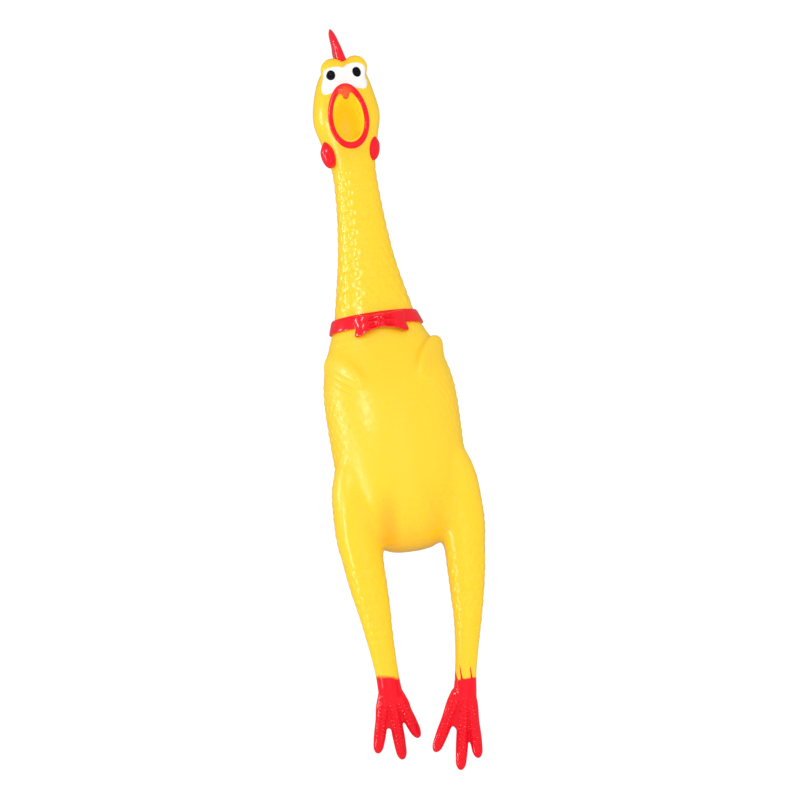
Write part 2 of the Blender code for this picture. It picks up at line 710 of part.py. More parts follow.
def leg_segment(name, body, leg, ends, bends, wall_plug):
    """A length of leg between two hinges. Its ball and a solid plug are at the upper one."""
    upper, lower = ends
    outside = between(leg, lower.z - 9, upper.z + 9)
    made = piece(loft(outside, LEG_SIDES), name, "yellow_vinyl", body)
    combine(made, [bend_cutter(name + "_high", upper, bends[0], "below", reach=30)], "DIFFERENCE")
    radius = radius_at(leg, upper.z) - LEG_WALL - BALL_GAP
    add_ball(made, upper, radius)
    inside = grown(between(leg, lower.z - 16, upper.z), -LEG_WALL)
    top = at_height(inside, upper.z - wall_plug)
    inside = [top] + between(inside, lower.z - 16, upper.z - wall_plug - 1)
    cuts = [
        cutter(loft(inside, LEG_SIDES), name + "_hollow"),
        bend_cutter(name + "_low", lower, bends[1], "above", reach=30),
    ]
    combine(made, cuts, "DIFFERENCE")
    air_passage(made, upper, LEG_AIR_HOLE, wall_plug + 2)


def toe(bearing, length):
    """A toe in the foot's own frame, pointing down from the ankle, with a round end."""
    turn = Matrix.Rotation(math.radians(-bearing), 4, "Y")
    low = Vector((0, 0, -length + TOE_TIP_RADIUS))
    shaft = rod(low, TOE_TIP_RADIUS, length - TOE_TIP_RADIUS - TOE_START, TOE_SIDES, TOE_ROOT_RADIUS)
    tip = ball(low, [TOE_TIP_RADIUS] * 3, TOE_SIDES)
    for bm in (shaft, tip):
        bmesh.ops.transform(bm, matrix=turn, verts=bm.verts)
    return shaft, tip


def foot(name, body, leg, shape):
    """The solid foot, which hangs from the ankle with its toes down."""
    ankle = centre_at(leg, shape["ankle_z"])
    stub = between(leg, shape["ankle_z"] - 20, shape["ankle_z"] + 8)
    made = piece(loft(stub, LEG_SIDES), name, "red_paint", body)
    combine(made, [bend_cutter(name + "_high", ankle, ANKLE_FLEX, "below", reach=30)], "DIFFERENCE")
    add_ball(made, ankle, radius_at(leg, ankle.z) - LEG_WALL - BALL_GAP)
    web = [(-4.6, -9.0), (4.6, -9.0)]
    for bearing, length in reversed(shape["toes"]):
        angle = math.radians(bearing)
        reach = length * WEB_SHARE
        web.append((reach * math.sin(angle), -reach * math.cos(angle)))
    solids = [prism(web, -WEB_THICK / 2, WEB_THICK / 2, "Y")]
    for bearing, length in shape["toes"]:
        solids.extend(toe(bearing, length))
    lean = Matrix.Rotation(math.radians(-shape["lean"]), 4, "Y")
    pitch = Matrix.Rotation(math.radians(shape["pitch"]), 4, "X")
    place = Matrix.Translation(ankle) @ pitch @ lean
    parts = []
    for i, bm in enumerate(solids):
        bmesh.ops.transform(bm, matrix=place, verts=bm.verts)
        parts.append(cutter(bm, f"{name}_{i}"))
    combine(made, parts, "UNION")


def leg(side, root, stations, shape):
    hip = centre_at(stations, HIP_Z)
    knee = centre_at(stations, KNEE_Z)
    ankle = centre_at(stations, shape["ankle_z"])
    thigh_body = pivot(f"{side}_thigh_body", hip, root)
    shin_body = pivot(f"{side}_shin_body", knee, thigh_body)
    foot_body = pivot(f"{side}_foot_body", ankle, shin_body)
    leg_segment(f"{side}_thigh", thigh_body, stations, (hip, knee), (HIP_SWING, KNEE_BEND), 7)
    leg_segment(f"{side}_shin", shin_body, stations, (knee, ankle), (KNEE_BEND, ANKLE_FLEX), 6)
    foot(f"{side}_foot", foot_body, stations, shape)


def main():
    clear_scene()
    trunk = smooth(TRUNK)
    left_leg = smooth(THIGH + LEFT_SHANK)
    right_leg = mirrored(smooth(THIGH + RIGHT_SHANK))

    root = pivot("torso_body", Vector())
    torso(root, trunk, (left_leg, right_leg))
    collar(root, trunk)
    bow_tie(root, trunk)
    belly(pivot("belly_body", Vector(), root), trunk)

    low_body = pivot("neck_lower_body", NECK_BASE, root)
    high_body = pivot("neck_upper_body", NECK_MID, low_body)
    head_body = pivot("head_body", HEAD_PIVOT, high_body)
    neck_segment(
        "neck_lower", low_body, trunk, (NECK_BASE, NECK_MID), (NECK_BEND, NECK_SWAY), "XY", 9.5
    )
    neck_segment(
        "neck_upper", high_body, trunk, (NECK_MID, HEAD_PIVOT), (NECK_SWAY, HEAD_NOD), "YX", 8
    )
    head(head_body, trunk)
    beak_rim(head_body)
    eye_mask(head_body, trunk)
    comb(head_body, trunk)
    for side in (1, -1):
        pupil(head_body, trunk, side)
        wattle(head_body, trunk, side)
    squeaker(head_body, pivot("reed_body", reed_hinge(), head_body))

    leg("left", root, left_leg, LEFT_FOOT)
    leg("right", root, right_leg, RIGHT_FOOT)


main()
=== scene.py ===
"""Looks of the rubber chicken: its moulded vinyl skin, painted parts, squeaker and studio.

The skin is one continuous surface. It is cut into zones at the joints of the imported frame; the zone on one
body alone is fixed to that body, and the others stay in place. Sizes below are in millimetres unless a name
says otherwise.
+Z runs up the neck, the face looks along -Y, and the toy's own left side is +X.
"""

import json
import math

import bmesh
import bpy
import numpy as np
from mathutils import Euler, Matrix, Vector
from mathutils.bvhtree import BVHTree

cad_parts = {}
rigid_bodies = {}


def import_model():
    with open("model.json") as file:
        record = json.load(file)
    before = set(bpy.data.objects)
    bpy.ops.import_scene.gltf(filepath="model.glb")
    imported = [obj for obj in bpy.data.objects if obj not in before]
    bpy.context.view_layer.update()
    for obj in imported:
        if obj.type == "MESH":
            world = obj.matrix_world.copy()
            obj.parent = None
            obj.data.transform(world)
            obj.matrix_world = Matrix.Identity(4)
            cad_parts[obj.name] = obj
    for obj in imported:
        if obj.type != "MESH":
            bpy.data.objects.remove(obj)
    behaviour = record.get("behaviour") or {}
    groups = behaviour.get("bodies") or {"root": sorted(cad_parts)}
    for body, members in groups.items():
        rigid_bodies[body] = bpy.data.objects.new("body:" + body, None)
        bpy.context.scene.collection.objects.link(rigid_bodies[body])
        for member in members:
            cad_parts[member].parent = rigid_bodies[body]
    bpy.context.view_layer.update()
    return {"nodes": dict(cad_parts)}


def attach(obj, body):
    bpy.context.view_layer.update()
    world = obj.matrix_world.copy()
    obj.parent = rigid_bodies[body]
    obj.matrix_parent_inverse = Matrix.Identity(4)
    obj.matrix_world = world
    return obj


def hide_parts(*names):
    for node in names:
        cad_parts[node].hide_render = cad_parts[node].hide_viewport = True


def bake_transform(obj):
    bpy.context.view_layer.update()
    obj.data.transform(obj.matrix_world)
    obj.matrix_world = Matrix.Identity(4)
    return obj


bl_info = {
    "name": "Rubber Chicken",
    "version": (1, 0, 0),
    "blender": (4, 5, 0),
    "location": "3D View > Sidebar > Rubber Chicken",
    "description": "Builds the skin, painted parts and studio of a rubber chicken squeeze toy",
    "category": "Object",
}

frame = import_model()
MM = 0.001

# Trunk from the rump up to the crown: height, x, y, half width, half depth
TRUNK = [
    (-59.4, 0, 0.0, 5.0, 5.0), (-57.6, 0, -0.4, 13.5, 12.5), (-52.0, 0, -1.2, 21.5, 20.5),
    (-42.0, 0, -2.4, 28.4, 27.2), (-28.0, 0, -3.6, 32.8, 31.6), (-12.0, 0, -4.0, 34.6, 32.2),
    (6.0, 0, -4.0, 35.2, 32.0), (24.0, 0, -2.8, 35.2, 29.6), (38.0, -0.2, -0.8, 33.2, 26.4),
    (49.0, -0.7, 1.0, 29.4, 23.4), (58.0, -1.2, 2.2, 25.2, 21.8), (66.0, -1.5, 2.8, 22.0, 20.4),
    (75.0, -1.5, 3.0, 19.8, 19.0), (86.0, -1.5, 3.0, 17.5, 17.2), (98.0, -1.4, 2.4, 15.2, 15.1),
    (110.0, -1.2, 1.7, 13.6, 13.5), (122.0, -1.0, 1.0, 12.4, 12.4), (133.0, -0.9, 0.6, 11.7, 11.7),
    (145.0, -0.9, 0.2, 11.4, 11.6), (154.0, -1.0, -0.6, 12.8, 13.2), (164.0, -1.1, -1.4, 15.6, 15.6),
    (175.0, -0.9, -1.8, 18.0, 17.0), (187.0, -0.6, -1.4, 16.2, 16.2), (197.0, 0.1, -0.6, 13.2, 13.8),
    (203.0, 0.8, 0.4, 9.0, 11.0), (205.8, 0.9, 1.6, 4.6, 6.4),
]
# Thigh and shank on the toy's own left; the right leg's are mirrored
THIGH = [
    (-1.0, 22.0, -11.0, 4.0, 5.0), (-8.0, 24.0, -11.4, 9.6, 11.4), (-22.0, 26.0, -10.6, 12.6, 14.0),
    (-36.0, 27.0, -9.4, 12.8, 14.4), (-50.0, 27.7, -8.0, 12.2, 13.2), (-62.0, 27.3, -6.6, 10.9, 11.8),
    (-72.0, 26.6, -5.4, 10.1, 10.6), (-80.0, 25.9, -4.6, 9.4, 9.8),
]
SHANKS = {
    "left": [
        (-89.0, 24.9, -4.0, 8.5, 8.8), (-98.0, 23.8, -3.5, 7.5, 7.8), (-114.0, 20.9, -2.8, 6.3, 6.5),
        (-127.0, 18.3, -2.4, 5.8, 6.1), (-136.0, 16.6, -2.2, 6.2, 6.1), (-142.0, 15.6, -2.1, 6.4, 4.6),
    ],
    "right": [
        (-89.0, 25.0, -3.0, 8.5, 8.8), (-98.0, 24.4, -1.2, 7.5, 7.8), (-112.0, 23.3, 2.4, 6.5, 6.7),
        (-122.0, 22.6, 5.2, 6.1, 6.2), (-130.0, 22.2, 7.4, 6.3, 6.1), (-136.0, 22.0, 9.0, 6.5, 4.6),
    ],
}
# Each foot: the ankle's height, the foot's lean towards +X and backward pitch in degrees, and
# each toe's bearing from the foot's middle line with its length from the ankle, and how far each
# web between two toes reaches
FEET = {
    "left": {
        "ankle": -127, "lean": -11.5, "pitch": 0,
        "toes": [(-18.0, 45.5), (0, 52), (11.5, 46)], "webs": [29.5, 30],
    },
    "right": {
        "ankle": -122, "lean": 2.5, "pitch": 14,
        "toes": [(-16.5, 43), (0.6, 47), (16.5, 38.5)], "webs": [29, 26],
    },
}
# The web: the share of each toe that it covers, and its own top edge and half thickness
WEB_TOE_SHARE, WEB_HALF_WIDTH, WEB_TOP, WEB_HALF_THICK = 0.66, 4.6, -7.0, 2.2
# Edge of the red paint on each ankle: its height, slope across the leg and softness, and the
# places across the left ankle where thin runs of paint reach up
PAINT_LINE = {"left": (-130.6, 0.0, 0.8), "right": (-123.6, -0.2, 1.8)}
PAINT_RUNS, PAINT_RUN_HEIGHT, PAINT_RUN_WIDTH = (-5.0, -2.4, 2.9), 8.5, 0.34
SIDE_SIGN = {"left": 1, "right": -1}
# Painted shade beside each thigh and under the rump
VALLEY_SHADE, VALLEY_X, RUMP_SHADE = {"left": 0.35, "right": 0.9}, 12.5, 0.35

# Head features, measured from the middle of the face
BROW_MIDDLE, BROW_AT, BROW_RADIUS = 1.2, Vector((6.0, -6.4, 200.6)), 6.7
EYES_MIDDLE, FACE_ROUND = 0.2, 15.0
MOUTH_AT, MOUTH_HALF_WIDTH, MOUTH_HALF_HEIGHT, MOUTH_EGG = Vector((-1.8, -25.5, 172.5)), 9.5, 15.3, 0.08
MOUTH_FLARE = [(-2.0, 0.9), (-12.0, 0.94), (-19.0, 0.98), (-25.5, 1.0)]
MOUTH_INSIDE = [
    (7.0, 0.34, -2.0), (4.5, 0.62, -1.6), (-2.0, 0.78, -1.0), (-12.0, 0.81, -0.4), (-32.0, 0.83, 0),
]
# Where the painted shade and painted glow inside the beak reach: share of the mouth's size, fade, and back
# and front limits
MOUTH_SHADE_SHARE, MOUTH_SHADE_FADE, MOUTH_SHADE_BACK, MOUTH_SHADE_FRONT = 0.93, 0.06, 9, -40
LIP_RADIUS, LIP_SWELL, LIP_SINK = 1.5, 0.5, 1.0
THROAT_AT, SEAT_RADIUS, SEAT_DEPTH = Vector((-1.0, -1.0, 157.4)), 7.9, 9
BORE_RADIUS, BORE_BELOW, BORE_LENGTH = 6.6, 15.4, 17
BEAK_TIP_DROP, BEAK_TIP_FORWARD, BEAK_TIP_RADII = 2.0, 2.4, (3.2, 1.8, 2.7)
HOOK_DROP, HOOK_FORWARD, HOOK_RADII = 2.0, 0.2, (2.0, 1.7, 2.8)
EYE_FIELD = [
    (0, 201.0), (3.4, 202.4), (8.0, 202.6), (11.2, 200.4), (12.2, 195.2), (11.6, 190.4),
    (9.0, 187.6), (4.8, 188.2), (0, 189.4), (-4.6, 188.2), (-7.4, 187.0), (-10.4, 187.3),
    (-11.9, 190.4), (-12.0, 195.6), (-11.2, 199.8), (-8.0, 201.6), (-3.4, 201.8),
]
EYE_FIELD_MIDDLE, EYE_FIELD_LIFT, EYE_FIELD_FALL = (0, 194.8), 0.4, 0.45
PUPIL_AT, PUPIL_HALF_WIDTH, PUPIL_HALF_HEIGHT, PUPIL_CROWN = (6.8, 197.2), 2.3, 2.85, 0.6
WATTLE_AT, WATTLE_RADII, WATTLE_TILT = Vector((11.4, -6.0, 158.1)), Vector((4.7, 5.2, 8.9)), 0.6
WATTLE_PINCH, WATTLE_TUCK = 0.42, 1.2
COMB_X, COMB_LEAN, COMB_ROOT_THICK, COMB_TIP_THICK, COMB_BEVEL = 1.0, -10, 6.4, 3.2, 3.0
COMB_EDGE = [
    (-6.5, 201.0), (-8.4, 208.5), (-7.0, 216.5), (-3.4, 222.6), (-0.2, 224.4), (2.2, 221.6),
    (3.4, 215.8), (5.6, 218.6), (7.6, 217.0), (8.4, 211.4), (10.6, 212.6), (12.4, 209.0), (11.0, 200.0),
]

# Collar, bow tie, stub wings and tail
COLLAR_LOW, COLLAR_HIGH, COLLAR_THICK = 60.8, 68.2, 1.6
BOW_X, BOW_Z = -0.4, 62.6
BOW_THICK, LOOP_SWELL, LOOP_AT, KNOT_SWELL, PLEAT_HEIGHT, CREASE_DEPTH = 1.0, 1.7, 9.2, 2.6, 0.75, 0.8
BOW_EDGE = [
    (0, 4.4), (4.5, 4.2), (12.6, 5.0), (14.4, 3.2), (13.6, -1.6), (14.6, -5.6), (12.8, -6.8),
    (7.0, -4.6), (0, -3.4),
]
WING_ROOT, WING_TIP = Vector((32.5, 0.0, 50.0)), Vector((15.5, -29.0, 30.5))
WING_HALF_WIDTH, WING_HALF_THICK, WING_RISE = 9.4, 2.7, {1: 1.0, -1: -3.0}
FOLDS_UP, FOLD_HALF_WIDTH, FOLD_DEPTH = (-4.6, -1.4, 1.8), 0.55, 0.12
TAIL_AT, TAIL_RADII, TAIL_RISE = Vector((0, 25.5, -38.0)), Vector((8.0, 11.5, 6.0)), 28

# Moulded pattern: columns round the form, row pitch, half width and half height of a pimple; the
# scales on the toes lie in two rows on each
TORSO_PIMPLES, TORSO_FRONT_HEIGHT, TORSO_SIDE_HEIGHT = (42, 4.2, 1.5, 1.35), 0.06, 0.28
NECK_PIMPLES, NECK_PIMPLE_HEIGHT = (18, 5.3, 2.5, 2.3), 0.32
LEG_PIMPLES, LEG_PIMPLE_HEIGHT = (12, 4.6, 1.9, 1.9), 0.22
SCALE_ROW_AT, SCALE_HALF_WIDTH, SCALE_PITCH, SCALE_HEIGHT = 1.3, 0.9, 2.1, 0.75

# How often the skin is relaxed where its forms meet, on the head and all over. The first two hold for voxels
# of TURNS_AT_VOXEL.
BLEND_TURNS, HEAD_TURNS, LAST_TURNS = 130, 14, 3
TURNS_AT_VOXEL, QUICK_COARSER = 0.5, 1.6

# Where the skin is cut into zones, and where its faces are finer
TRUNK_CUTS = {"chest": 65.0, "throat": 98.0, "nape": 121.0}
LEG_CUTS = {"hip": -62.0, "knee": -85.0, "shin": -110.0}
FINE_BELOW = -126.0
SPLIT_LEAN_FROM, SPLIT_LEAN_TO, SPLIT_LEAN = -140.0, -168.0, -8.0
BELLY_FRONT = -6
# Spans of the skin round each joint, kept in the zone table: places in the belly's wall, heights elsewhere
BELLY_BEND = (0, -25, 0), (0, -36, 0)
NECK_BENDS = {"lower": (77, 95), "upper": (101, 119), "nape": (124, 142)}
HIP_BEND, KNEE_BEND, ANKLE_HALF_BEND = (-64, -80), (-90, -106), 8

# Studio, in metres and degrees, with the camera's sensor in millimetres. Each light: name, bearing
# from the front, distance, low and high edge, width, watts, and whether it shows in the gloss.
# Fills light the toy evenly, and only the strips show as highlights.
LIGHTS = [
    ("torso strip", -99, 2.0, 0.10, 0.85, 0.12, 6, True),
    ("neck strip", -45, 2.0, 0.60, 1.20, 0.28, 8, True),
    ("leg strip", -77, 2.0, -0.85, 0.15, 0.18, 6, True),
    ("front fill", 4, 2.4, -0.1, 1.3, 1.6, 8, False),
    ("right fill", 62, 2.2, -0.3, 1.1, 1.4, 12, False),
    ("low fill", 0, 1.8, -1.2, -0.4, 1.4, 4, False),
    ("back fill", 170, 2.2, 0.1, 1.7, 1.6, 8, False),
]
FLOOR_Z, FLOOR_HALF_WIDTH = -1.3, 12
AIR_SEEN, AIR_IN_GLOSS, AIR_LIGHT = 1.05, 0.2, 0.76
CAMERA_AZIMUTH, CAMERA_ELEVATION, CAMERA_ROLL = -5.0, -5.0, 8.5
SENSOR_WIDTH, SEEN_WIDTH, CAMERA_SHIFT = 36, 0.4256, Vector((0.0021, 0.0218, 0))


# Stations and outlines


def smooth(stations, steps=4):
    """Stations on a Catmull-Rom curve through the given ones."""
    made = []
    last = len(stations) - 1
    for i in range(last):
        p0, p1, p2, p3 = (stations[min(max(k, 0), last)] for k in (i - 1, i, i + 1, i + 2))
        for step in range(steps):
            made.append(curve_point(p0, p1, p2, p3, step / steps))
    return made + [stations[-1]]


def curve_point(p0, p1, p2, p3, t):
    return tuple(
        0.5 * (2 * b + (c - a) * t + (2 * a - 5 * b + 4 * c - d) * t**2 + (3 * b - a - 3 * c + d) * t**3)
        for a, b, c, d in zip(p0, p1, p2, p3)
    )


def smooth_outline(points, steps=6):
    """A closed outline through the given points."""
    count = len(points)
    made = []
    for i in range(count):
        around = [points[(i + k) % count] for k in (-1, 0, 1, 2)]
        made.extend(curve_point(*around, step / steps) for step in range(steps))
    return made


def mirrored(stations):
    return [(z, -x, y, w, d) for z, x, y, w, d in stations]


def both_sides(half_edge):
    """A whole outline from its half at +X, which starts and ends on the middle line."""
    return half_edge + [(-a, z) for a, z in reversed(half_edge[1:-1])]


def at_height(stations, heights):
    """x, y, half width and half depth of the stations at an array of heights."""
    ordered = np.array(sorted(stations))
    return [np.interp(heights, ordered[:, 0], ordered[:, k]) for k in (1, 2, 3, 4)]


def turns_of(count):
    """Even angles round a circle."""
    return [2 * math.pi * i / count for i in range(count)]


def mouth_ring(y, share, drop=0.0, points=48):
    """The beak's egg-shaped outline at that depth, as a share of its full size."""
    made = []
    for turn in turns_of(points):
        across = MOUTH_HALF_WIDTH * share * math.sin(turn) * (1 - MOUTH_EGG * math.cos(turn))
        rise = MOUTH_HALF_HEIGHT * share * math.cos(turn)
        made.append(Vector((MOUTH_AT.x + across, y, MOUTH_AT.z + drop + rise)))
    return made


# Meshes in millimetres


def bridge_rings(rings, closed=False):
    """Joins rings of points into a tube with two end faces, or into a closed loop of tube."""
    bm = bmesh.new()
    edge_rings = []
    for ring in rings:
        verts = [bm.verts.new(point) for point in ring]
        edge_rings.append([bm.edges.new((verts[i - 1], verts[i])) for i in range(len(verts))])
    for lower, upper in zip(edge_rings, edge_rings[1:]):
        bmesh.ops.bridge_loops(bm, edges=lower + upper)
    if closed:
        bmesh.ops.bridge_loops(bm, edges=edge_rings[-1] + edge_rings[0])
    else:
        for ring in (edge_rings[0], edge_rings[-1]):
            bmesh.ops.contextual_create(bm, geom=ring)
    bmesh.ops.recalc_face_normals(bm, faces=bm.faces)
    return bm


def loft(stations, sides=56):
    """A closed solid through level elliptical rings."""
    turns = turns_of(sides)
    return bridge_rings([
        [Vector((x + w * math.cos(t), y + d * math.sin(t), z)) for t in turns] for z, x, y, w, d in stations])


def ball(centre, radii, segments=32):
    bm = bmesh.new()
    place = Matrix.Translation(centre) @ Matrix.Diagonal((*radii, 1))
    bmesh.ops.create_uvsphere(bm, u_segments=segments, v_segments=segments // 2, radius=1, matrix=place)
    return bm


def rod(low, radius, length, segments=40):
    bm = bmesh.new()
    place = Matrix.Translation(low + Vector((0, 0, length / 2)))
    bmesh.ops.create_cone(
        bm, cap_ends=True, segments=segments, radius1=radius, radius2=radius, depth=length, matrix=place)
    return bm


def prism(outline, low, high, axis):
    """An outline of (across, height) points, extruded along X or Y from low to high."""
    bm = bmesh.new()
    face = bm.faces.new([bm.verts.new((low, a, z) if axis == "X" else (a, low, z)) for a, z in outline])
    side = bmesh.ops.extrude_face_region(bm, geom=[face])["geom"]
    step = (high - low, 0, 0) if axis == "X" else (0, high - low, 0)
    bmesh.ops.translate(bm, vec=step, verts=[v for v in side if isinstance(v, bmesh.types.BMVert)])
    bmesh.ops.recalc_face_normals(bm, faces=bm.faces)
    return bm


def joined(parts):
    """One bmesh that holds several, which are freed."""
    whole = bmesh.new()
    for bm in parts:
        mesh = bpy.data.meshes.new("part")
        bm.to_mesh(mesh)
        bm.free()
        whole.from_mesh(mesh)
        bpy.data.meshes.remove(mesh)
    return whole


def to_object(bm, name):
    mesh = bpy.data.meshes.new(name)
    bm.to_mesh(mesh)
    bm.free()
    made = bpy.data.objects.new(name, mesh)
    bpy.context.scene.collection.objects.link(made)
    return made


def settle(obj):
    """Replaces an object's mesh by what its modifiers make of it."""
    made = bpy.data.meshes.new_from_object(obj.evaluated_get(bpy.context.evaluated_depsgraph_get()))
    obj.modifiers.clear()
    old = obj.data
    obj.data = made
    bpy.data.meshes.remove(old)
    made.name = obj.name
    return obj


def discard(obj):
    mesh = obj.data
    bpy.data.objects.remove(obj)
    bpy.data.meshes.remove(mesh)


def carve(target, bm, operation):
    """Adds to target, or takes from it, one more solid."""
    other = to_object(bm, "tool")
    modifier = target.modifiers.new(operation, "BOOLEAN")
    modifier.operation = operation
    modifier.object = other
    modifier.solver = "EXACT"
    settle(target)
    discard(other)


def voxel_skin(obj, size):
    """Melts overlapping closed shells into one even skin of small quads."""
    modifier = obj.modifiers.new("melt", "REMESH")
    modifier.mode = "VOXEL"
    modifier.voxel_size = size
    modifier.use_smooth_shade = True
    return settle(obj)


def points_of(mesh):
    points = np.empty(len(mesh.vertices) * 3)
    mesh.vertices.foreach_get("co", points)
    return points.reshape(-1, 3)


def normals_of(mesh):
    normals = np.empty(len(mesh.vertices) * 3)
    mesh.vertex_normals.foreach_get("vector", normals)
    return normals.reshape(-1, 3)


def put_points(mesh, points):
    mesh.vertices.foreach_set("co", points.astype(np.float32).ravel())
    mesh.update()


def relax(mesh, turns, weight=None):
    """Moves each point half way to the mean of its neighbours, as often as turns says."""
    points = points_of(mesh)
    edges = np.empty(len(mesh.edges) * 2, np.int32)
    mesh.edges.foreach_get("vertices", edges)
    edges = edges.reshape(-1, 2)
    count = len(points)
    tail, head = np.concatenate([edges[:, 0], edges[:, 1]]), np.concatenate([edges[:, 1], edges[:, 0]])
    degree = np.maximum(np.bincount(tail, minlength=count), 1)[:, None]
    pull = 0.5 if weight is None else 0.5 * weight[:, None]
    for _ in range(turns):
        total = np.stack([np.bincount(tail, points[head, k], count) for k in range(3)], 1)
        points = points + pull * (total / degree - points)
    put_points(mesh, points)


def ease(value, low, high):
    """0 below low, 1 above high, and a smooth rise between them."""
    share = np.clip((value - low) / (high - low), 0, 1)
    return share * share * (3 - 2 * share)


def distance_to_outline(places, outline):
    """How far each place in a plane lies from a closed outline."""
    start = np.array(outline)
    step = np.roll(start, -1, axis=0) - start
    offset = places[:, None, :] - start[None]
    share = np.clip((offset * step).sum(2) / (step**2).sum(1), 0, 1)
    return np.linalg.norm(offset - share[:, :, None] * step, axis=2).min(1)


def put_attribute(mesh, name, values):
    attribute = mesh.attributes.new(name, "FLOAT", "POINT")
    attribute.data.foreach_set("value", values.astype(np.float32))


def finished(obj, name, finish, shade=None):
    """Scales a mesh in millimetres to metres and gives it its name and material."""
    obj.name = name
    obj.data.name = name
    obj.data.transform(Matrix.Scale(MM, 4))
    if shade is not None:
        obj.data.shade_smooth()
        obj.data.set_sharp_from_angle(angle=math.radians(shade))
    obj.data.materials.clear()
    obj.data.materials.append(finish)
    return obj


# Surface pattern of the moulded skin


def pimples(angle, radius, height, columns, pitch, half_width, half_height):
    """Round pimples in staggered rows: 1 at the middle of each and 0 between them."""
    row_at = height / pitch
    best = np.zeros(len(height))
    for step in (0, 1):
        row = np.floor(row_at) + step
        column_at = angle * columns / (2 * math.pi) - 0.5 * np.mod(row, 2)
        column = np.round(column_at)
        across = (column_at - column) * 2 * math.pi * radius / columns
        along = (row_at - row) * pitch
        share = np.clip(1 - (across / half_width) ** 2 - (along / half_height) ** 2, 0, 1)
        uneven = 0.8 + 0.2 * np.sin(row * 12.9 + column * 78.2)
        best = np.maximum(best, share * uneven)
    return best * (2 - best)


def around(points, stations):
    """Angle and radius of each point about the stations' own centre line."""
    x, y, _, _ = at_height(stations, points[:, 2])
    across, forward = points[:, 0] - x, points[:, 1] - y
    return np.arctan2(across, -forward), np.hypot(across, forward)


def wing_ends(side):
    """A wing's root and tip; the wings sit at slightly different heights."""
    return [Vector((end.x * side, end.y, end.z + WING_RISE[side])) for end in (WING_ROOT, WING_TIP)]


def wing_place(points, side):
    """Share of the way from a wing's root to its tip, and height above its middle line."""
    root, tip = (np.array(end) for end in wing_ends(side))
    along = (tip - root) / np.linalg.norm(tip - root)
    up = np.array([0, 0, 1.0]) - along[2] * along
    up /= np.linalg.norm(up)
    from_root = points - root
    return from_root @ along / np.linalg.norm(tip - root), from_root @ up, np.linalg.norm(
        from_root - np.outer(from_root @ along, along) - np.outer(from_root @ up, up), axis=1
    )


def wing_mask(points):
    """1 on a wing and 0 away from both."""
    mask = np.zeros(len(points))
    for side in (1, -1):
        share, up, off = wing_place(points, side)
        near = ease(-np.abs(up), -WING_HALF_WIDTH - 1.5, -WING_HALF_WIDTH + 2) * ease(-off, -9, -6.5)
        near *= ease(share, -0.15, 0.02) * ease(-share, -1.12, -0.98)
        mask = np.maximum(mask, near)
    return mask


def wing_folds(points):
    """Depth of the moulded feather lines on the wings."""
    depth = np.zeros(len(points))
    for side in (1, -1):
        share, up, off = wing_place(points, side)
        near = ease(share, 0.3, 0.5) * ease(-share, -1.05, -0.98) * ease(-off, -8.5, -6.5)
        for line in FOLDS_UP:
            depth = np.maximum(depth, near * np.exp(-(((up - line) / FOLD_HALF_WIDTH) ** 2)))
    return depth


def side_signs(points):
    """1 on the toy's own left and -1 on its right; lower down the split leans with an inner toe."""
    top, low = SPLIT_LEAN_FROM, SPLIT_LEAN_TO
    split = SPLIT_LEAN * np.clip((top - points[:, 2]) / (top - low), 0, 1)
    return np.where(points[:, 0] > split, 1, -1)


def foot_matrix(side):
    """From a foot's own frame, with the ankle at its origin and the toes down, to the toy's."""
    shape = FEET[side]
    stations = leg_stations(side)
    x, y, _, _ = at_height(stations, [shape["ankle"]])
    lean = Matrix.Rotation(math.radians(-shape["lean"]), 4, "Y")
    pitch = Matrix.Rotation(math.radians(shape["pitch"]), 4, "X")
    return Matrix.Translation((x[0], y[0], shape["ankle"])) @ pitch @ lean


def leg_stations(side):
    stations = smooth(THIGH + SHANKS[side])
    return stations if side == "left" else mirrored(stations)


def toe_scales(points, side):
    """Height of the rows of scales along a foot's toes."""
    to_foot = np.array(foot_matrix(side).inverted())
    local = points @ to_foot[:3, :3].T + to_foot[:3, 3]
    height = np.zeros(len(points))
    nearest = np.full(len(points), 1e9)
    for bearing, length in FEET[side]["toes"]:
        angle = math.radians(bearing)
        along = local[:, 0] * math.sin(angle) - local[:, 2] * math.cos(angle)
        across = local[:, 0] * math.cos(angle) + local[:, 2] * math.sin(angle)
        rows = np.clip(1 - ((np.abs(across) - SCALE_ROW_AT) / SCALE_HALF_WIDTH) ** 2, 0, 1)
        beads = 0.5 + 0.5 * np.cos(2 * math.pi * along / SCALE_PITCH)
        mine = rows * beads * ease(along, 13, 18) * ease(-along, -length + 6, -length + 12)
        closer = np.abs(across) < nearest
        height[closer] = mine[closer]
        nearest = np.minimum(nearest, np.abs(across))
    return height


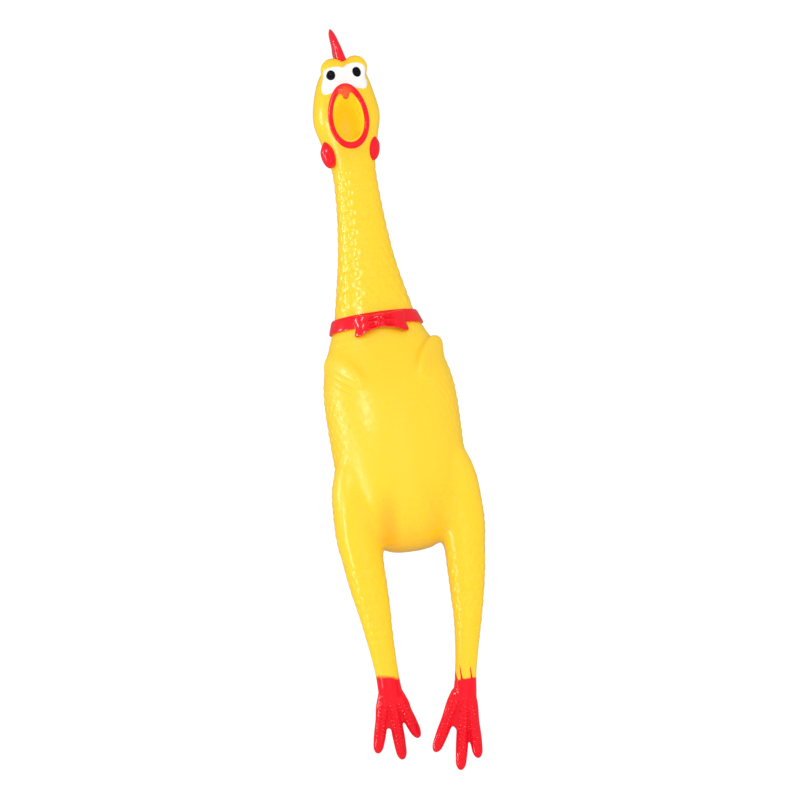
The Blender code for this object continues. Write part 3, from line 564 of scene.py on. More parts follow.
def skin_relief(points):
    """How far the moulded pattern lifts each point of the skin."""
    z = points[:, 2]
    trunk = smooth(TRUNK)
    angle, radius = around(points, trunk)
    wing = wing_mask(points)
    on_torso = ease(z, -64, -54) * ease(-z, -61, -57) * (1 - 0.85 * wing)
    on_thigh = ease(np.abs(points[:, 0]), 14, 19) * ease(-z, 4, 14) * ease(-points[:, 1], 6, 14)
    height = TORSO_FRONT_HEIGHT + TORSO_SIDE_HEIGHT * np.sin(angle) ** 6
    lift = height * on_torso * (1 - 0.8 * on_thigh) * pimples(angle, radius, z, *TORSO_PIMPLES)
    on_neck = ease(z, 69, 72) * ease(-z, -153, -143)
    lift += NECK_PIMPLE_HEIGHT * on_neck * pimples(angle, radius, z, *NECK_PIMPLES)
    for side in ("left", "right"):
        mine = side_signs(points) == SIDE_SIGN[side]
        leg_angle, leg_radius = around(points, leg_stations(side))
        on_leg = mine * ease(-z, 56, 66) * ease(z, -118, -100)
        lift += LEG_PIMPLE_HEIGHT * on_leg * pimples(leg_angle, leg_radius, z, *LEG_PIMPLES)
        lift += SCALE_HEIGHT * mine * ease(-z, 130, 138) * toe_scales(points, side)
    lift -= FOLD_DEPTH * wing_folds(points)
    return lift


# Materials


def put_inputs(tree, made, inputs):
    """Fills a node's inputs by name or number: a socket is linked, and a plain value is set."""
    for key, value in inputs.items():
        if isinstance(value, bpy.types.NodeSocket):
            tree.links.new(value, made.inputs[key])
        else:
            made.inputs[key].default_value = value
    return made


def node(tree, kind, inputs, **settings):
    """A node with its settings and then its inputs."""
    made = tree.nodes.new(kind)
    for key, value in settings.items():
        setattr(made, key, value)
    return put_inputs(tree, made, inputs)


def maths(tree, operation, *values):
    """What a Math node makes of sockets and numbers."""
    return node(tree, "ShaderNodeMath", dict(enumerate(values)), operation=operation).outputs[0]


def noise(tree, scale, detail):
    """Noise in the object's own space."""
    place = node(tree, "ShaderNodeTexCoord", {}).outputs["Object"]
    inputs = {"Vector": place, "Scale": scale, "Detail": detail}
    return node(tree, "ShaderNodeTexNoise", inputs).outputs["Fac"]


def point_value(tree, name):
    """A value that the mesh holds at its points."""
    return node(tree, "ShaderNodeAttribute", {}, attribute_name=name).outputs["Fac"]


def mix_colour(tree, factor, a, b):
    """A colour between two, each of them a socket or plain values."""
    a, b = (c if isinstance(c, bpy.types.NodeSocket) else (*c, 1) for c in (a, b))
    made = node(tree, "ShaderNodeMix", {"Factor": factor, "A": a, "B": b}, data_type="RGBA")
    return made.outputs["Result"]


def mix_value(tree, factor, a, b):
    made = node(tree, "ShaderNodeMix", {"Factor": factor, "A": a, "B": b}, data_type="FLOAT")
    return made.outputs["Result"]


def new_group(name, inputs, outputs):
    """An empty shader group with named sockets, and its two end nodes."""
    group = bpy.data.node_groups.new(name, "ShaderNodeTree")
    for label, kind in inputs:
        group.interface.new_socket(label, in_out="INPUT", socket_type=kind)
    for label, kind in outputs:
        group.interface.new_socket(label, in_out="OUTPUT", socket_type=kind)
    return group, group.nodes.new("NodeGroupInput"), group.nodes.new("NodeGroupOutput")


def moulded_surface_group():
    """Mottled colour, uneven gloss and a fine grain for moulded or painted vinyl."""
    name = "Moulded Surface"
    if name in bpy.data.node_groups:
        return bpy.data.node_groups[name]
    group, start, end = new_group(
        name,
        [
            ("Colour", "NodeSocketColor"), ("Mottle Colour", "NodeSocketColor"),
            ("Mottle", "NodeSocketFloat"), ("Roughness", "NodeSocketFloat"),
            ("Gloss Spread", "NodeSocketFloat"), ("Grain Size", "NodeSocketFloat"),
            ("Grain Height", "NodeSocketFloat"),
        ],
        [("Colour", "NodeSocketColor"), ("Roughness", "NodeSocketFloat"), ("Normal", "NodeSocketVector")],
    )
    given = start.outputs
    amount = maths(group, "MULTIPLY", noise(group, 55.0, 3.0), given["Mottle"])
    centred = maths(group, "SUBTRACT", noise(group, 160.0, 4.0), 0.5)
    grain = noise(group, given["Grain Size"], 2.0)
    bump = node(
        group, "ShaderNodeBump", {"Strength": 1.0, "Distance": given["Grain Height"], "Height": grain})
    put_inputs(group, end, {
        "Colour": mix_colour(group, amount, given["Colour"], given["Mottle Colour"]),
        "Roughness": maths(group, "MULTIPLY_ADD", centred, given["Gloss Spread"], given["Roughness"]),
        "Normal": bump.outputs["Normal"],
    })
    return group


def principled(name):
    """A new material, its tree and its shader."""
    made = bpy.data.materials.new(name)
    made.use_nodes = True
    return made, made.node_tree, made.node_tree.nodes["Principled BSDF"]


def surface(tree, colour, mottle_colour, mottle, roughness, spread, grain=900.0, height=0.00003):
    """The colour, roughness and normal of one Moulded Surface node, under the shader's names."""
    inputs = {
        "Colour": (*colour, 1), "Mottle Colour": (*mottle_colour, 1), "Mottle": mottle,
        "Roughness": roughness, "Gloss Spread": spread, "Grain Size": grain, "Grain Height": height,
    }
    made = node(tree, "ShaderNodeGroup", {}, node_tree=moulded_surface_group())
    put_inputs(tree, made, inputs)
    return {
        "Base Color": made.outputs["Colour"], "Roughness": made.outputs["Roughness"],
        "Normal": made.outputs["Normal"],
    }


def gloss_paint(name, colour, mottle_colour, coat=0.4, glow=0.0, shine=0.5, **values):
    """Glossy moulded or sprayed paint with a clear coat."""
    made, tree, shader = principled(name)
    put_inputs(tree, shader, {
        **surface(tree, colour, mottle_colour, **values),
        "Coat Weight": coat, "Coat Roughness": 0.08, "Specular IOR Level": shine,
        "Subsurface Weight": glow, "Subsurface Radius": (1.0, 0.35, 0.2), "Subsurface Scale": 0.003,
    })
    return made


def edge_mask(tree, attribute, soft, wander, grain):
    """0 to 1 across an attribute's zero line, with a slightly wandering edge: sprayed paint on the feet, and
    the rim of the painted shade in the mouth.
    """
    shifted = maths(tree, "MULTIPLY_ADD", noise(tree, grain, 3.0), wander, -wander / 2)
    total = maths(tree, "ADD", point_value(tree, attribute), shifted)
    ramp = node(tree, "ShaderNodeMapRange", {0: total, 1: -soft, 2: soft}, interpolation_type="SMOOTHSTEP")
    return ramp.outputs[0]


def skin_material(look):
    """Yellow vinyl with red painted feet, painted shade beside the thighs, under the rump and between the toe
    scales, and painted shade and a painted glow in the mouth.
    """
    made, tree, shader = principled("yellow vinyl")
    vinyl = surface(tree, look.vinyl, look.vinyl_warm, mottle=0.35, roughness=0.26, spread=0.14)
    red = surface(tree, look.red, look.red_mottle_and_shade, mottle=0.5, roughness=0.16, spread=0.08)
    # Painted shade beside the thighs, under the rump and between the toe scales, and painted shade and a
    # painted glow inside the mouth
    hollow = point_value(tree, "hollow")
    mouth = edge_mask(tree, "mouth", 1.2, 0.5, 300.0)
    painted = edge_mask(tree, "paint", 0.6, 1.2, 420.0)
    colour = mix_colour(tree, hollow, vinyl["Base Color"], look.vinyl_shade)
    colour = mix_colour(tree, mouth, colour, look.mouth)
    # Painted shade between the toe scales, in darker red
    between = maths(tree, "MULTIPLY", hollow, 0.4)
    red_colour = mix_colour(tree, between, red["Base Color"], look.red_mottle_and_shade)
    duller = maths(tree, "MULTIPLY_ADD", point_value(tree, "matte"), 0.1, vinyl["Roughness"])
    put_inputs(tree, shader, {
        "Base Color": mix_colour(tree, painted, colour, red_colour),
        "Roughness": mix_value(tree, painted, duller, red["Roughness"]),
        "Normal": vinyl["Normal"],
        # Painted glow inside the mouth
        "Emission Color": mix_colour(tree, mouth, (0, 0, 0), [v * look.mouth_painted_glow for v in look.mouth]),
        "Emission Strength": 1.0,
        "Subsurface Weight": 0.12, "Subsurface Radius": (1.0, 0.5, 0.1), "Subsurface Scale": 0.004,
        "Specular IOR Level": 0.6, "Coat Weight": 0.1, "Coat Roughness": 0.1,
    })
    return made


def beak_material(look):
    """Glossy red lips that turn orange towards the beak's hooked tip."""
    made, tree, shader = principled("beak paint")
    red = surface(tree, look.red, look.red_mottle_and_shade, mottle=0.6, roughness=0.2, spread=0.1)
    colour = mix_colour(tree, point_value(tree, "tip"), red["Base Color"], look.beak)
    put_inputs(tree, shader, {
        **red, "Base Color": colour,
        "Specular IOR Level": 0.4, "Coat Weight": 0.5, "Coat Roughness": 0.08,
    })
    return made


def looks():
    return bpy.context.scene.rubber_chicken


def paint(name):
    """One of the toy's finishes, made once."""
    if name in bpy.data.materials:
        return bpy.data.materials[name]
    look = looks()
    if name == "yellow vinyl":
        return skin_material(look)
    if name == "beak paint":
        return beak_material(look)
    colour, mottle_colour, values = {
        "red paint": (
            look.red, look.red_mottle_and_shade,
            {"mottle": 0.6, "roughness": 0.2, "spread": 0.1, "coat": 0.5, "glow": 0.08}),
        "white paint": (
            look.white, (0.8, 0.78, 0.74),
            {"mottle": 0.2, "roughness": 0.28, "spread": 0.1, "coat": 0.3}),
        "black paint": (
            look.black, (0.012, 0.012, 0.02),
            {"mottle": 0.3, "roughness": 0.22, "spread": 0.05, "coat": 0, "shine": 0.16}),
        "squeaker plastic": (
            look.squeaker, (0.7, 0.66, 0.55),
            {"mottle": 0.4, "roughness": 0.35, "spread": 0.15, "coat": 0.1}),
        "reed film": (
            (0.62, 0.72, 0.8), (0.5, 0.6, 0.7),
            {"mottle": 0.4, "roughness": 0.2, "spread": 0.1, "coat": 0.3}),
    }[name]
    return gloss_paint(name, colour, mottle_colour, **values)


# The skin


def head_and_trunk():
    """Trunk, brows and open beak as one closed solid, with the mouth and throat hollowed out."""
    made = to_object(loft(smooth(TRUNK)), "trunk")
    for side in (1, -1):
        centre = Vector((BROW_MIDDLE + BROW_AT.x * side, BROW_AT.y, BROW_AT.z))
        carve(made, ball(centre, [BROW_RADIUS] * 3), "UNION")
    carve(made, bridge_rings([mouth_ring(*place) for place in MOUTH_FLARE]), "UNION")
    carve(made, bridge_rings([mouth_ring(*place) for place in MOUTH_INSIDE]), "DIFFERENCE")
    carve(made, rod(THROAT_AT, SEAT_RADIUS, SEAT_DEPTH), "DIFFERENCE")
    carve(made, rod(THROAT_AT - Vector((0, 0, BORE_BELOW)), BORE_RADIUS, BORE_LENGTH), "DIFFERENCE")
    bm = bmesh.new()
    bm.from_mesh(made.data)
    discard(made)
    return bm


def wing_form(side):
    root, tip = wing_ends(side)
    turn = (tip - root).normalized().to_track_quat("X", "Z").to_matrix().to_4x4()
    bm = ball(Vector(), ((tip - root).length / 2, WING_HALF_THICK, WING_HALF_WIDTH))
    bmesh.ops.transform(bm, matrix=Matrix.Translation((root + tip) / 2) @ turn, verts=bm.verts)
    return bm


def tail_form():
    bm = ball(Vector(), TAIL_RADII)
    place = Matrix.Translation(TAIL_AT) @ Matrix.Rotation(math.radians(TAIL_RISE), 4, "X")
    bmesh.ops.transform(bm, matrix=place, verts=bm.verts)
    return bm


def toe_form(bearing, length):
    """A toe with two soft knuckles and a round end, in the foot's own frame."""
    stations = [
        (-11.0, 0, 0, 3.6, 3.2), (-18.0, 0, 0, 4.0, 3.7), (-length * 0.58, 0, 0, 3.4, 3.4),
        (-length * 0.74, 0, -0.1, 3.35, 3.3), (-length + 4.2, 0, 0, 2.9, 2.8),
        (-length + 1.7, 0, 0, 2.2, 2.2), (-length + 0.4, 0, 0, 1.3, 1.3), (-length - 0.1, 0, 0, 0.5, 0.5),
    ]
    bm = loft(smooth(stations), 24)
    bmesh.ops.transform(bm, matrix=Matrix.Rotation(math.radians(-bearing), 4, "Y"), verts=bm.verts)
    return bm


def foot_forms(side):
    """The toes and the web between them, hung from the ankle."""
    toes = [(bearing, WEB_TOE_SHARE * length) for bearing, length in FEET[side]["toes"]]
    gaps = [((a[0] + b[0]) / 2, reach) for a, b, reach in zip(toes, toes[1:], FEET[side]["webs"])]
    web = [(-WEB_HALF_WIDTH, WEB_TOP), (WEB_HALF_WIDTH, WEB_TOP)]
    for bearing, reach in (toes[2], gaps[1], toes[1], gaps[0], toes[0]):
        angle = math.radians(bearing)
        web.append((reach * math.sin(angle), -reach * math.cos(angle)))
    made = [prism(web, -WEB_HALF_THICK, WEB_HALF_THICK, "Y")] + [toe_form(*toe) for toe in FEET[side]["toes"]]
    for bm in made:
        bmesh.ops.transform(bm, matrix=foot_matrix(side), verts=bm.verts)
    return made


def build_skin(voxel):
    """The whole moulded skin as one mesh in millimetres, with its pattern and paint attributes."""
    forms = [head_and_trunk(), wing_form(1), wing_form(-1), tail_form()]
    for side in ("left", "right"):
        forms.append(loft(leg_stations(side), 40))
        forms.extend(foot_forms(side))
    skin = voxel_skin(to_object(joined(forms), "skin"), voxel)
    mesh = skin.data
    points = points_of(mesh)
    z = points[:, 2]
    soft = ease(z, -74, -58) * ease(-z, -62, -52)
    soft *= 1 - 0.1 * wing_mask(points)
    scale = (TURNS_AT_VOXEL / voxel) ** 2
    relax(mesh, round(BLEND_TURNS * scale), np.maximum(soft, 0.0))
    head = ease(z, 140, 152)
    relax(mesh, round(HEAD_TURNS * scale), np.maximum(head, 0.25 * (1 - head)))
    relax(mesh, LAST_TURNS)
    refine_feet(mesh)
    points = points_of(mesh)
    points += normals_of(mesh) * skin_relief(points)[:, None]
    put_points(mesh, points)
    paint_attributes(mesh, points)
    return skin


def refine_feet(mesh):
    """Halves the faces of the feet, whose scales are smaller than the rest of the pattern."""
    bm = bmesh.new()
    bm.from_mesh(mesh)
    edges = [e for e in bm.edges if max(v.co.z for v in e.verts) < FINE_BELOW]
    bmesh.ops.subdivide_edges(bm, edges=edges, cuts=1, use_grid_fill=True)
    bm.to_mesh(mesh)
    bm.free()


def paint_attributes(mesh, points):
    """Where the mouth's painted shade and glow, the feet's red, and the painted shade of the hollows and
    between the toe scales go.
    """
    x, y, z = points.T
    # Painted shade and painted glow inside the beak
    reach = np.hypot((x - MOUTH_AT.x) / MOUTH_HALF_WIDTH, (z - MOUTH_AT.z) / MOUTH_HALF_HEIGHT)
    inside = (y < MOUTH_SHADE_BACK) & (y > MOUTH_SHADE_FRONT) & (reach < MOUTH_SHADE_SHARE)
    fade = np.clip(np.abs(reach - MOUTH_SHADE_SHARE) / MOUTH_SHADE_FADE, 0, 1)
    put_attribute(mesh, "mouth", np.where(inside, 3.0, -3.0) * fade)
    signs = side_signs(points)
    paint = np.empty(len(points))
    for side, sign in SIDE_SIGN.items():
        mine = signs == sign
        height, slope, softness = PAINT_LINE[side]
        ankle_x, ankle_y, _, _ = (v[0] for v in at_height(leg_stations(side), [height]))
        paint[mine] = ((height + slope * (x - ankle_x) - z) / softness)[mine]
        if side == "left":
            runs = sum(np.exp(-(((x - ankle_x - at) / PAINT_RUN_WIDTH) ** 2)) for at in PAINT_RUNS)
            paint[mine] += (PAINT_RUN_HEIGHT / softness * runs * ease(-y, -ankle_y - 1, -ankle_y + 1))[mine]
    put_attribute(mesh, "paint", paint)
    # Painted shade beside each thigh and under the rump
    valley = np.zeros(len(points))
    for side, sign in SIDE_SIGN.items():
        beside = ease(-np.abs(x * sign - VALLEY_X), -7.5, -0.5)
        valley = np.maximum(valley, VALLEY_SHADE[side] * beside * ease(-z, 22, 46) * ease(-y, 8, 20))
    under = ease(-z, 44, 58) * ease(-np.abs(x), -20, -12)
    hollow = np.clip(valley + RUMP_SHADE * under, 0, 1)
    # Painted shade between the scales of the toes
    for side, sign in SIDE_SIGN.items():
        foot = (signs == sign) & (z < -130)
        hollow[foot] = (ease(-z, 136, 150) * (1 - toe_scales(points, side)))[foot]
    put_attribute(mesh, "hollow", hollow)
    put_attribute(mesh, "matte", ease(z, -40, -12) * ease(-z, -62, -54))


def zone_of(centres):
    """The zone that each face belongs to, by the height and side of its middle."""
    _, y, z = centres.T
    signs = side_signs(centres)
    zone = np.where(y < BELLY_FRONT, 0, 1)
    zone[z > TRUNK_CUTS["chest"]] = 2
    zone[z > TRUNK_CUTS["throat"]] = 3
    zone[z > TRUNK_CUTS["nape"]] = 4
    for first, sign in ((5, 1), (8, -1)):
        mine = (signs == sign) & (z < LEG_CUTS["hip"])
        zone[mine] = first
        zone[mine & (z < LEG_CUTS["knee"])] = first + 1
        zone[mine & (z < LEG_CUTS["shin"])] = first + 2
    return zone


def zone_table():
    """Name, the CAD nodes it stands for, the two bodies, and where the bend starts and ends."""
    rows = [
        ("torso_front_skin", ("torso_skin", "belly_panel"), ("torso", "belly"), BELLY_BEND),
        ("torso_back_skin", ("torso_skin",), ("torso", None), None),
        ("lower_neck_skin", ("neck_lower",), ("torso", "low_neck"), NECK_BENDS["lower"]),
        ("upper_neck_skin", ("neck_upper",), ("low_neck", "high_neck"), NECK_BENDS["upper"]),
        ("head_and_nape_skin", ("head_skin",), ("high_neck", "head"), NECK_BENDS["nape"]),
    ]
    for side in ("left", "right"):
        thigh, shin, claw = (f"{side}_{body}" for body in ("upper_leg", "lower_leg", "claw"))
        ankle = FEET[side]["ankle"]
        ankle_bend = (ankle + ANKLE_HALF_BEND, ankle - ANKLE_HALF_BEND)
        rows += [
            (f"{side}_thigh_skin", (f"{side}_thigh",), ("torso", thigh), HIP_BEND),
            (f"{side}_shin_skin", (f"{side}_shin",), (thigh, shin), KNEE_BEND),
            (f"{side}_foot_skin", (f"{side}_foot",), (shin, claw), ankle_bend),
        ]
    return rows


def cut_zones(skin):
    """Cuts the skin into its zones. Points on a cut keep the whole skin's normals, so no seam shows."""
    mesh = skin.data
    count = len(mesh.polygons)
    centres = np.empty(count * 3)
    mesh.polygons.foreach_get("center", centres)
    zones = zone_of(centres.reshape(-1, 3))
    normals = normals_of(mesh)
    keep = mesh.attributes.new("whole_normal", "FLOAT_VECTOR", "POINT")
    keep.data.foreach_set("vector", normals.astype(np.float32).ravel())
    whole = bmesh.new()
    whole.from_mesh(mesh)
    for index, (name, nodes, bodies, bend) in enumerate(zone_table()):
        bm = whole.copy()
        bmesh.ops.delete(bm, geom=[f for f in bm.faces if zones[f.index] != index], context="FACES")
        piece = to_object(bm, name)
        kept = np.empty(len(piece.data.vertices) * 3)
        piece.data.attributes["whole_normal"].data.foreach_get("vector", kept)
        piece.data.attributes.remove(piece.data.attributes["whole_normal"])
        finished(piece, name, paint("yellow vinyl"))
        piece.data.shade_smooth()
        piece.data.normals_split_custom_set_from_vertices(kept.reshape(-1, 3))
        if bodies[1] is None:
            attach(piece, bodies[0])
        else:
            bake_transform(piece)
        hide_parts(*nodes)
    whole.free()


def head_surface():
    """A ray finder on the front of the head and chest, in metres."""
    parts = [bpy.data.objects[n] for n in ("head_and_nape_skin", "lower_neck_skin", "torso_front_skin")]
    verts, faces = [], []
    for part in parts:
        base = len(verts)
        verts.extend(v.co.copy() for v in part.data.vertices)
        faces.extend([base + i for i in p.vertices] for p in part.data.polygons)
    return BVHTree.FromPolygons(verts, faces)


def head_point(tree, x, z, lift, wrap=True):
    """The place on the face at that distance from its middle and that height, lifted off the skin."""
    turn = math.asin(x / FACE_ROUND) if wrap else 0.0
    outward = Vector((math.sin(turn), -math.cos(turn), 0))
    start = outward * 60 + Vector((EYES_MIDDLE if wrap else EYES_MIDDLE + x, 0, z))
    place, normal, _, _ = tree.ray_cast(start * MM, -outward)
    return place / MM + normal * lift


def relief_patch(outline, place, rings, sink, middle):
    """A closed pad laid on a surface: place(across, height, share of the way out) gives its top."""
    loops = []
    for k in range(1, rings + 1):
        share = k / rings
        loops.append([
            place(middle[0] + (x - middle[0]) * share, middle[1] + (z - middle[1]) * share, share)
            for x, z in outline])
    loops.append([p + Vector((0, sink, 0)) for p in loops[-1]])
    return bridge_rings(loops)


# Operators


class LookSettings(bpy.types.PropertyGroup):
    """The toy's colours, the fineness of its skin and how far off the camera stands"""

    vinyl: bpy.props.FloatVectorProperty(
        name="Vinyl", description="Yellow of the skin", subtype="COLOR", default=(1.0, 0.64, 0.020))
    vinyl_warm: bpy.props.FloatVectorProperty(
        name="Warm vinyl", description="Warmer tone mottled into the skin", subtype="COLOR",
        default=(1.0, 0.58, 0.016))
    # Colour of the painted shade in the skin's hollows
    vinyl_shade: bpy.props.FloatVectorProperty(
        name="Deep vinyl", description="Tone in the hollows of the skin", subtype="COLOR",
        default=(1.0, 0.47, 0.014))
    # Deeper orange painted inside the beak as shade
    mouth: bpy.props.FloatVectorProperty(
        name="Mouth", description="Tone inside the open beak", subtype="COLOR", default=(1.0, 0.52, 0.02))
    # Strength of the painted glow inside the beak
    mouth_painted_glow: bpy.props.FloatProperty(
        name="Mouth glow", description="Light that the thin vinyl lets into the mouth", subtype="FACTOR",
        default=0.5)
    red: bpy.props.FloatVectorProperty(
        name="Red", description="Paint of the lips, comb, bow and feet", subtype="COLOR",
        default=(0.97, 0.004, 0.018))
    # Darker red mottled into the paint, and the colour of the painted shade between the toe scales
    red_mottle_and_shade: bpy.props.FloatVectorProperty(
        name="Deep red", description="Darker tone mottled into the red", subtype="COLOR",
        default=(0.72, 0.002, 0.012))
    beak: bpy.props.FloatVectorProperty(
        name="Beak", description="Orange red of the beak's tip", subtype="COLOR", default=(1.0, 0.10, 0.02))
    white: bpy.props.FloatVectorProperty(
        name="White", description="Paint of the eye field", subtype="COLOR", default=(0.93, 0.93, 0.92))
    black: bpy.props.FloatVectorProperty(
        name="Black", description="Paint of the pupils", subtype="COLOR", default=(0.005, 0.004, 0.006))
    squeaker: bpy.props.FloatVectorProperty(
        name="Squeaker", description="Plastic of the squeaker", subtype="COLOR", default=(0.85, 0.82, 0.72))
    skin_grain: bpy.props.FloatProperty(
        name="Skin resolution", description="Size of the skin's usual faces", default=0.0005, unit="LENGTH")
    camera_distance: bpy.props.FloatProperty(
        name="Camera distance", description="From the toy to the camera", default=3.0, unit="LENGTH")


class CHICKEN_OT_skin(bpy.types.Operator):
    """Make the yellow vinyl skin of the torso, neck, head, legs and feet"""

    bl_idname = "chicken.skin"
    bl_label = "Vinyl Skin"

    def execute(self, context):
        voxel = looks().skin_grain / MM * 1.0
        skin = build_skin(voxel)
        cut_zones(skin)
        discard(skin)
        return {"FINISHED"}


class CHICKEN_OT_beak(bpy.types.Operator):
    """Make the red lips of the open beak with its hooked upper tip"""

    bl_idname = "chicken.beak"
    bl_label = "Beak Lips"

    def execute(self, context):
        top = MOUTH_AT.z + MOUTH_HALF_HEIGHT
        path = mouth_ring(0, 1, points=72)
        rings = []
        for i, point in enumerate(path):
            rise = (point.z - MOUTH_AT.z) / MOUTH_HALF_HEIGHT
            radius = LIP_RADIUS + LIP_SWELL * rise**4
            inset = radius - LIP_RADIUS
            point.y = MOUTH_AT.y + LIP_SINK - radius
            along = path[(i + 1) % len(path)] - path[i - 1]
            outward = Vector((along.z, 0, -along.x)).normalized()
            rings.append([
                point + outward * (radius * math.cos(t) - inset) + Vector((0, radius * math.sin(t), 0))
                for t in turns_of(16)])
        lip = bridge_rings(rings, closed=True)
        tip_at = Vector((MOUTH_AT.x, MOUTH_AT.y - BEAK_TIP_FORWARD, top - BEAK_TIP_DROP))
        hook_at = tip_at - Vector((0, HOOK_FORWARD, HOOK_DROP))
        parts = [lip, ball(tip_at, BEAK_TIP_RADII), ball(hook_at, HOOK_RADII)]
        made = voxel_skin(to_object(joined(parts), "beak_lips"), 0.32)
        relax(made.data, 14)
        points = points_of(made.data)
        off = np.hypot((points[:, 0] - tip_at.x) / 4.6, (points[:, 2] - tip_at.z + 1.6) / 5.0)
        put_attribute(made.data, "tip", 1 - ease(off, 0.35, 1.25))
        made.data.shade_smooth()
        finished(made, "beak_lips", paint("beak paint"))
        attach(made, "head")
        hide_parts("beak_rim")
        return {"FINISHED"}


class CHICKEN_OT_eyes(bpy.types.Operator):
    """Make the white eye field and the two black pupils"""

    bl_idname = "chicken.eyes"
    bl_label = "Eyes"

    def execute(self, context):
        tree = head_surface()

        def field_place(x, z, share):
            fall = EYE_FIELD_FALL * max(0.0, (share - 0.88) / 0.12) ** 2
            return head_point(tree, x, z, EYE_FIELD_LIFT - fall)

        pad = relief_patch(smooth_outline(EYE_FIELD), field_place, 24, 1.2, EYE_FIELD_MIDDLE)
        field = to_object(pad, "eye_field")
        relax(field.data, 2)
        finished(field, "eye_field", paint("white paint"), 60)
        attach(field, "head")
        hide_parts("eye_mask")
        for side, name in ((1, "left"), (-1, "right")):
            centre = (PUPIL_AT[0] * side, PUPIL_AT[1])
            edge = [
                (centre[0] + PUPIL_HALF_WIDTH * math.sin(t), centre[1] + PUPIL_HALF_HEIGHT * math.cos(t))
                for t in turns_of(48)]

            def pupil_place(x, z, share):
                crown = PUPIL_CROWN * math.sqrt(max(0.0, 1 - share**2.2))
                return head_point(tree, x, z, EYE_FIELD_LIFT + crown, wrap=False)

            pupil = to_object(relief_patch(edge, pupil_place, 10, 1.0, centre), f"{name}_pupil_dot")
            finished(pupil, f"{name}_pupil_dot", paint("black paint"), 60)
            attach(pupil, "head")
            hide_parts(f"{name}_pupil")
        return {"FINISHED"}


class CHICKEN_OT_wattles(bpy.types.Operator):
    """Make the two wattles that hang under the jaw"""

    bl_idname = "chicken.wattles"
    bl_label = "Wattles"

    def execute(self, context):
        for side, name in ((1, "left"), (-1, "right")):
            centre = Vector((WATTLE_AT.x * side + MOUTH_AT.x, WATTLE_AT.y, WATTLE_AT.z + WATTLE_TILT * side))
            bm = ball(centre, WATTLE_RADII, 40)
            for vert in bm.verts:
                rise = (vert.co.z - centre.z) / WATTLE_RADII.z
                pinch = 1 - WATTLE_PINCH * max(0.0, rise) ** 1.5
                vert.co.x = centre.x + (vert.co.x - centre.x) * pinch - side * WATTLE_TUCK * max(0.0, rise)
                vert.co.y = centre.y + (vert.co.y - centre.y) * pinch
            bmesh.ops.smooth_vert(
                bm, verts=bm.verts, factor=0.5, use_axis_x=True, use_axis_y=True, use_axis_z=True)
            made = finished(to_object(bm, name), f"{name}_wattle_lobe", paint("red paint"), 60)
            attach(made, "head")
            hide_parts(f"{name}_wattle")
        return {"FINISHED"}


class CHICKEN_OT_comb(bpy.types.Operator):
    """Make the thin pointed comb on the crown"""

    bl_idname = "chicken.comb"
    bl_label = "Comb"

    def execute(self, context):
        outline = smooth_outline(COMB_EDGE, 5)
        made = voxel_skin(to_object(prism(outline, -2.0, 2.0, "X"), "comb_fin"), 0.35)
        relax(made.data, 6)
        low, high = COMB_EDGE[0][1], max(z for _, z in COMB_EDGE)
        points = points_of(made.data)
        rise = (points[:, 2] - low) / (high - low)
        swell = np.sqrt(np.clip(distance_to_outline(points[:, 1:], outline) / COMB_BEVEL, 0.03, 1))
        points[:, 0] *= (COMB_ROOT_THICK + (COMB_TIP_THICK - COMB_ROOT_THICK) * rise) / 4 * swell
        put_points(made.data, points)
        relax(made.data, 12)
        root = Vector((0, 0, low + 2))
        turn = Matrix.Rotation(math.radians(COMB_LEAN), 4, "Y")
        place = Matrix.Translation(root + Vector((COMB_X, 0, 0)))
        made.data.transform(place @ turn @ Matrix.Translation(-root))
        made.data.shade_smooth()
        finished(made, "comb_fin", paint("red paint"))
        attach(made, "head")
        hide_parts("comb")
        return {"FINISHED"}


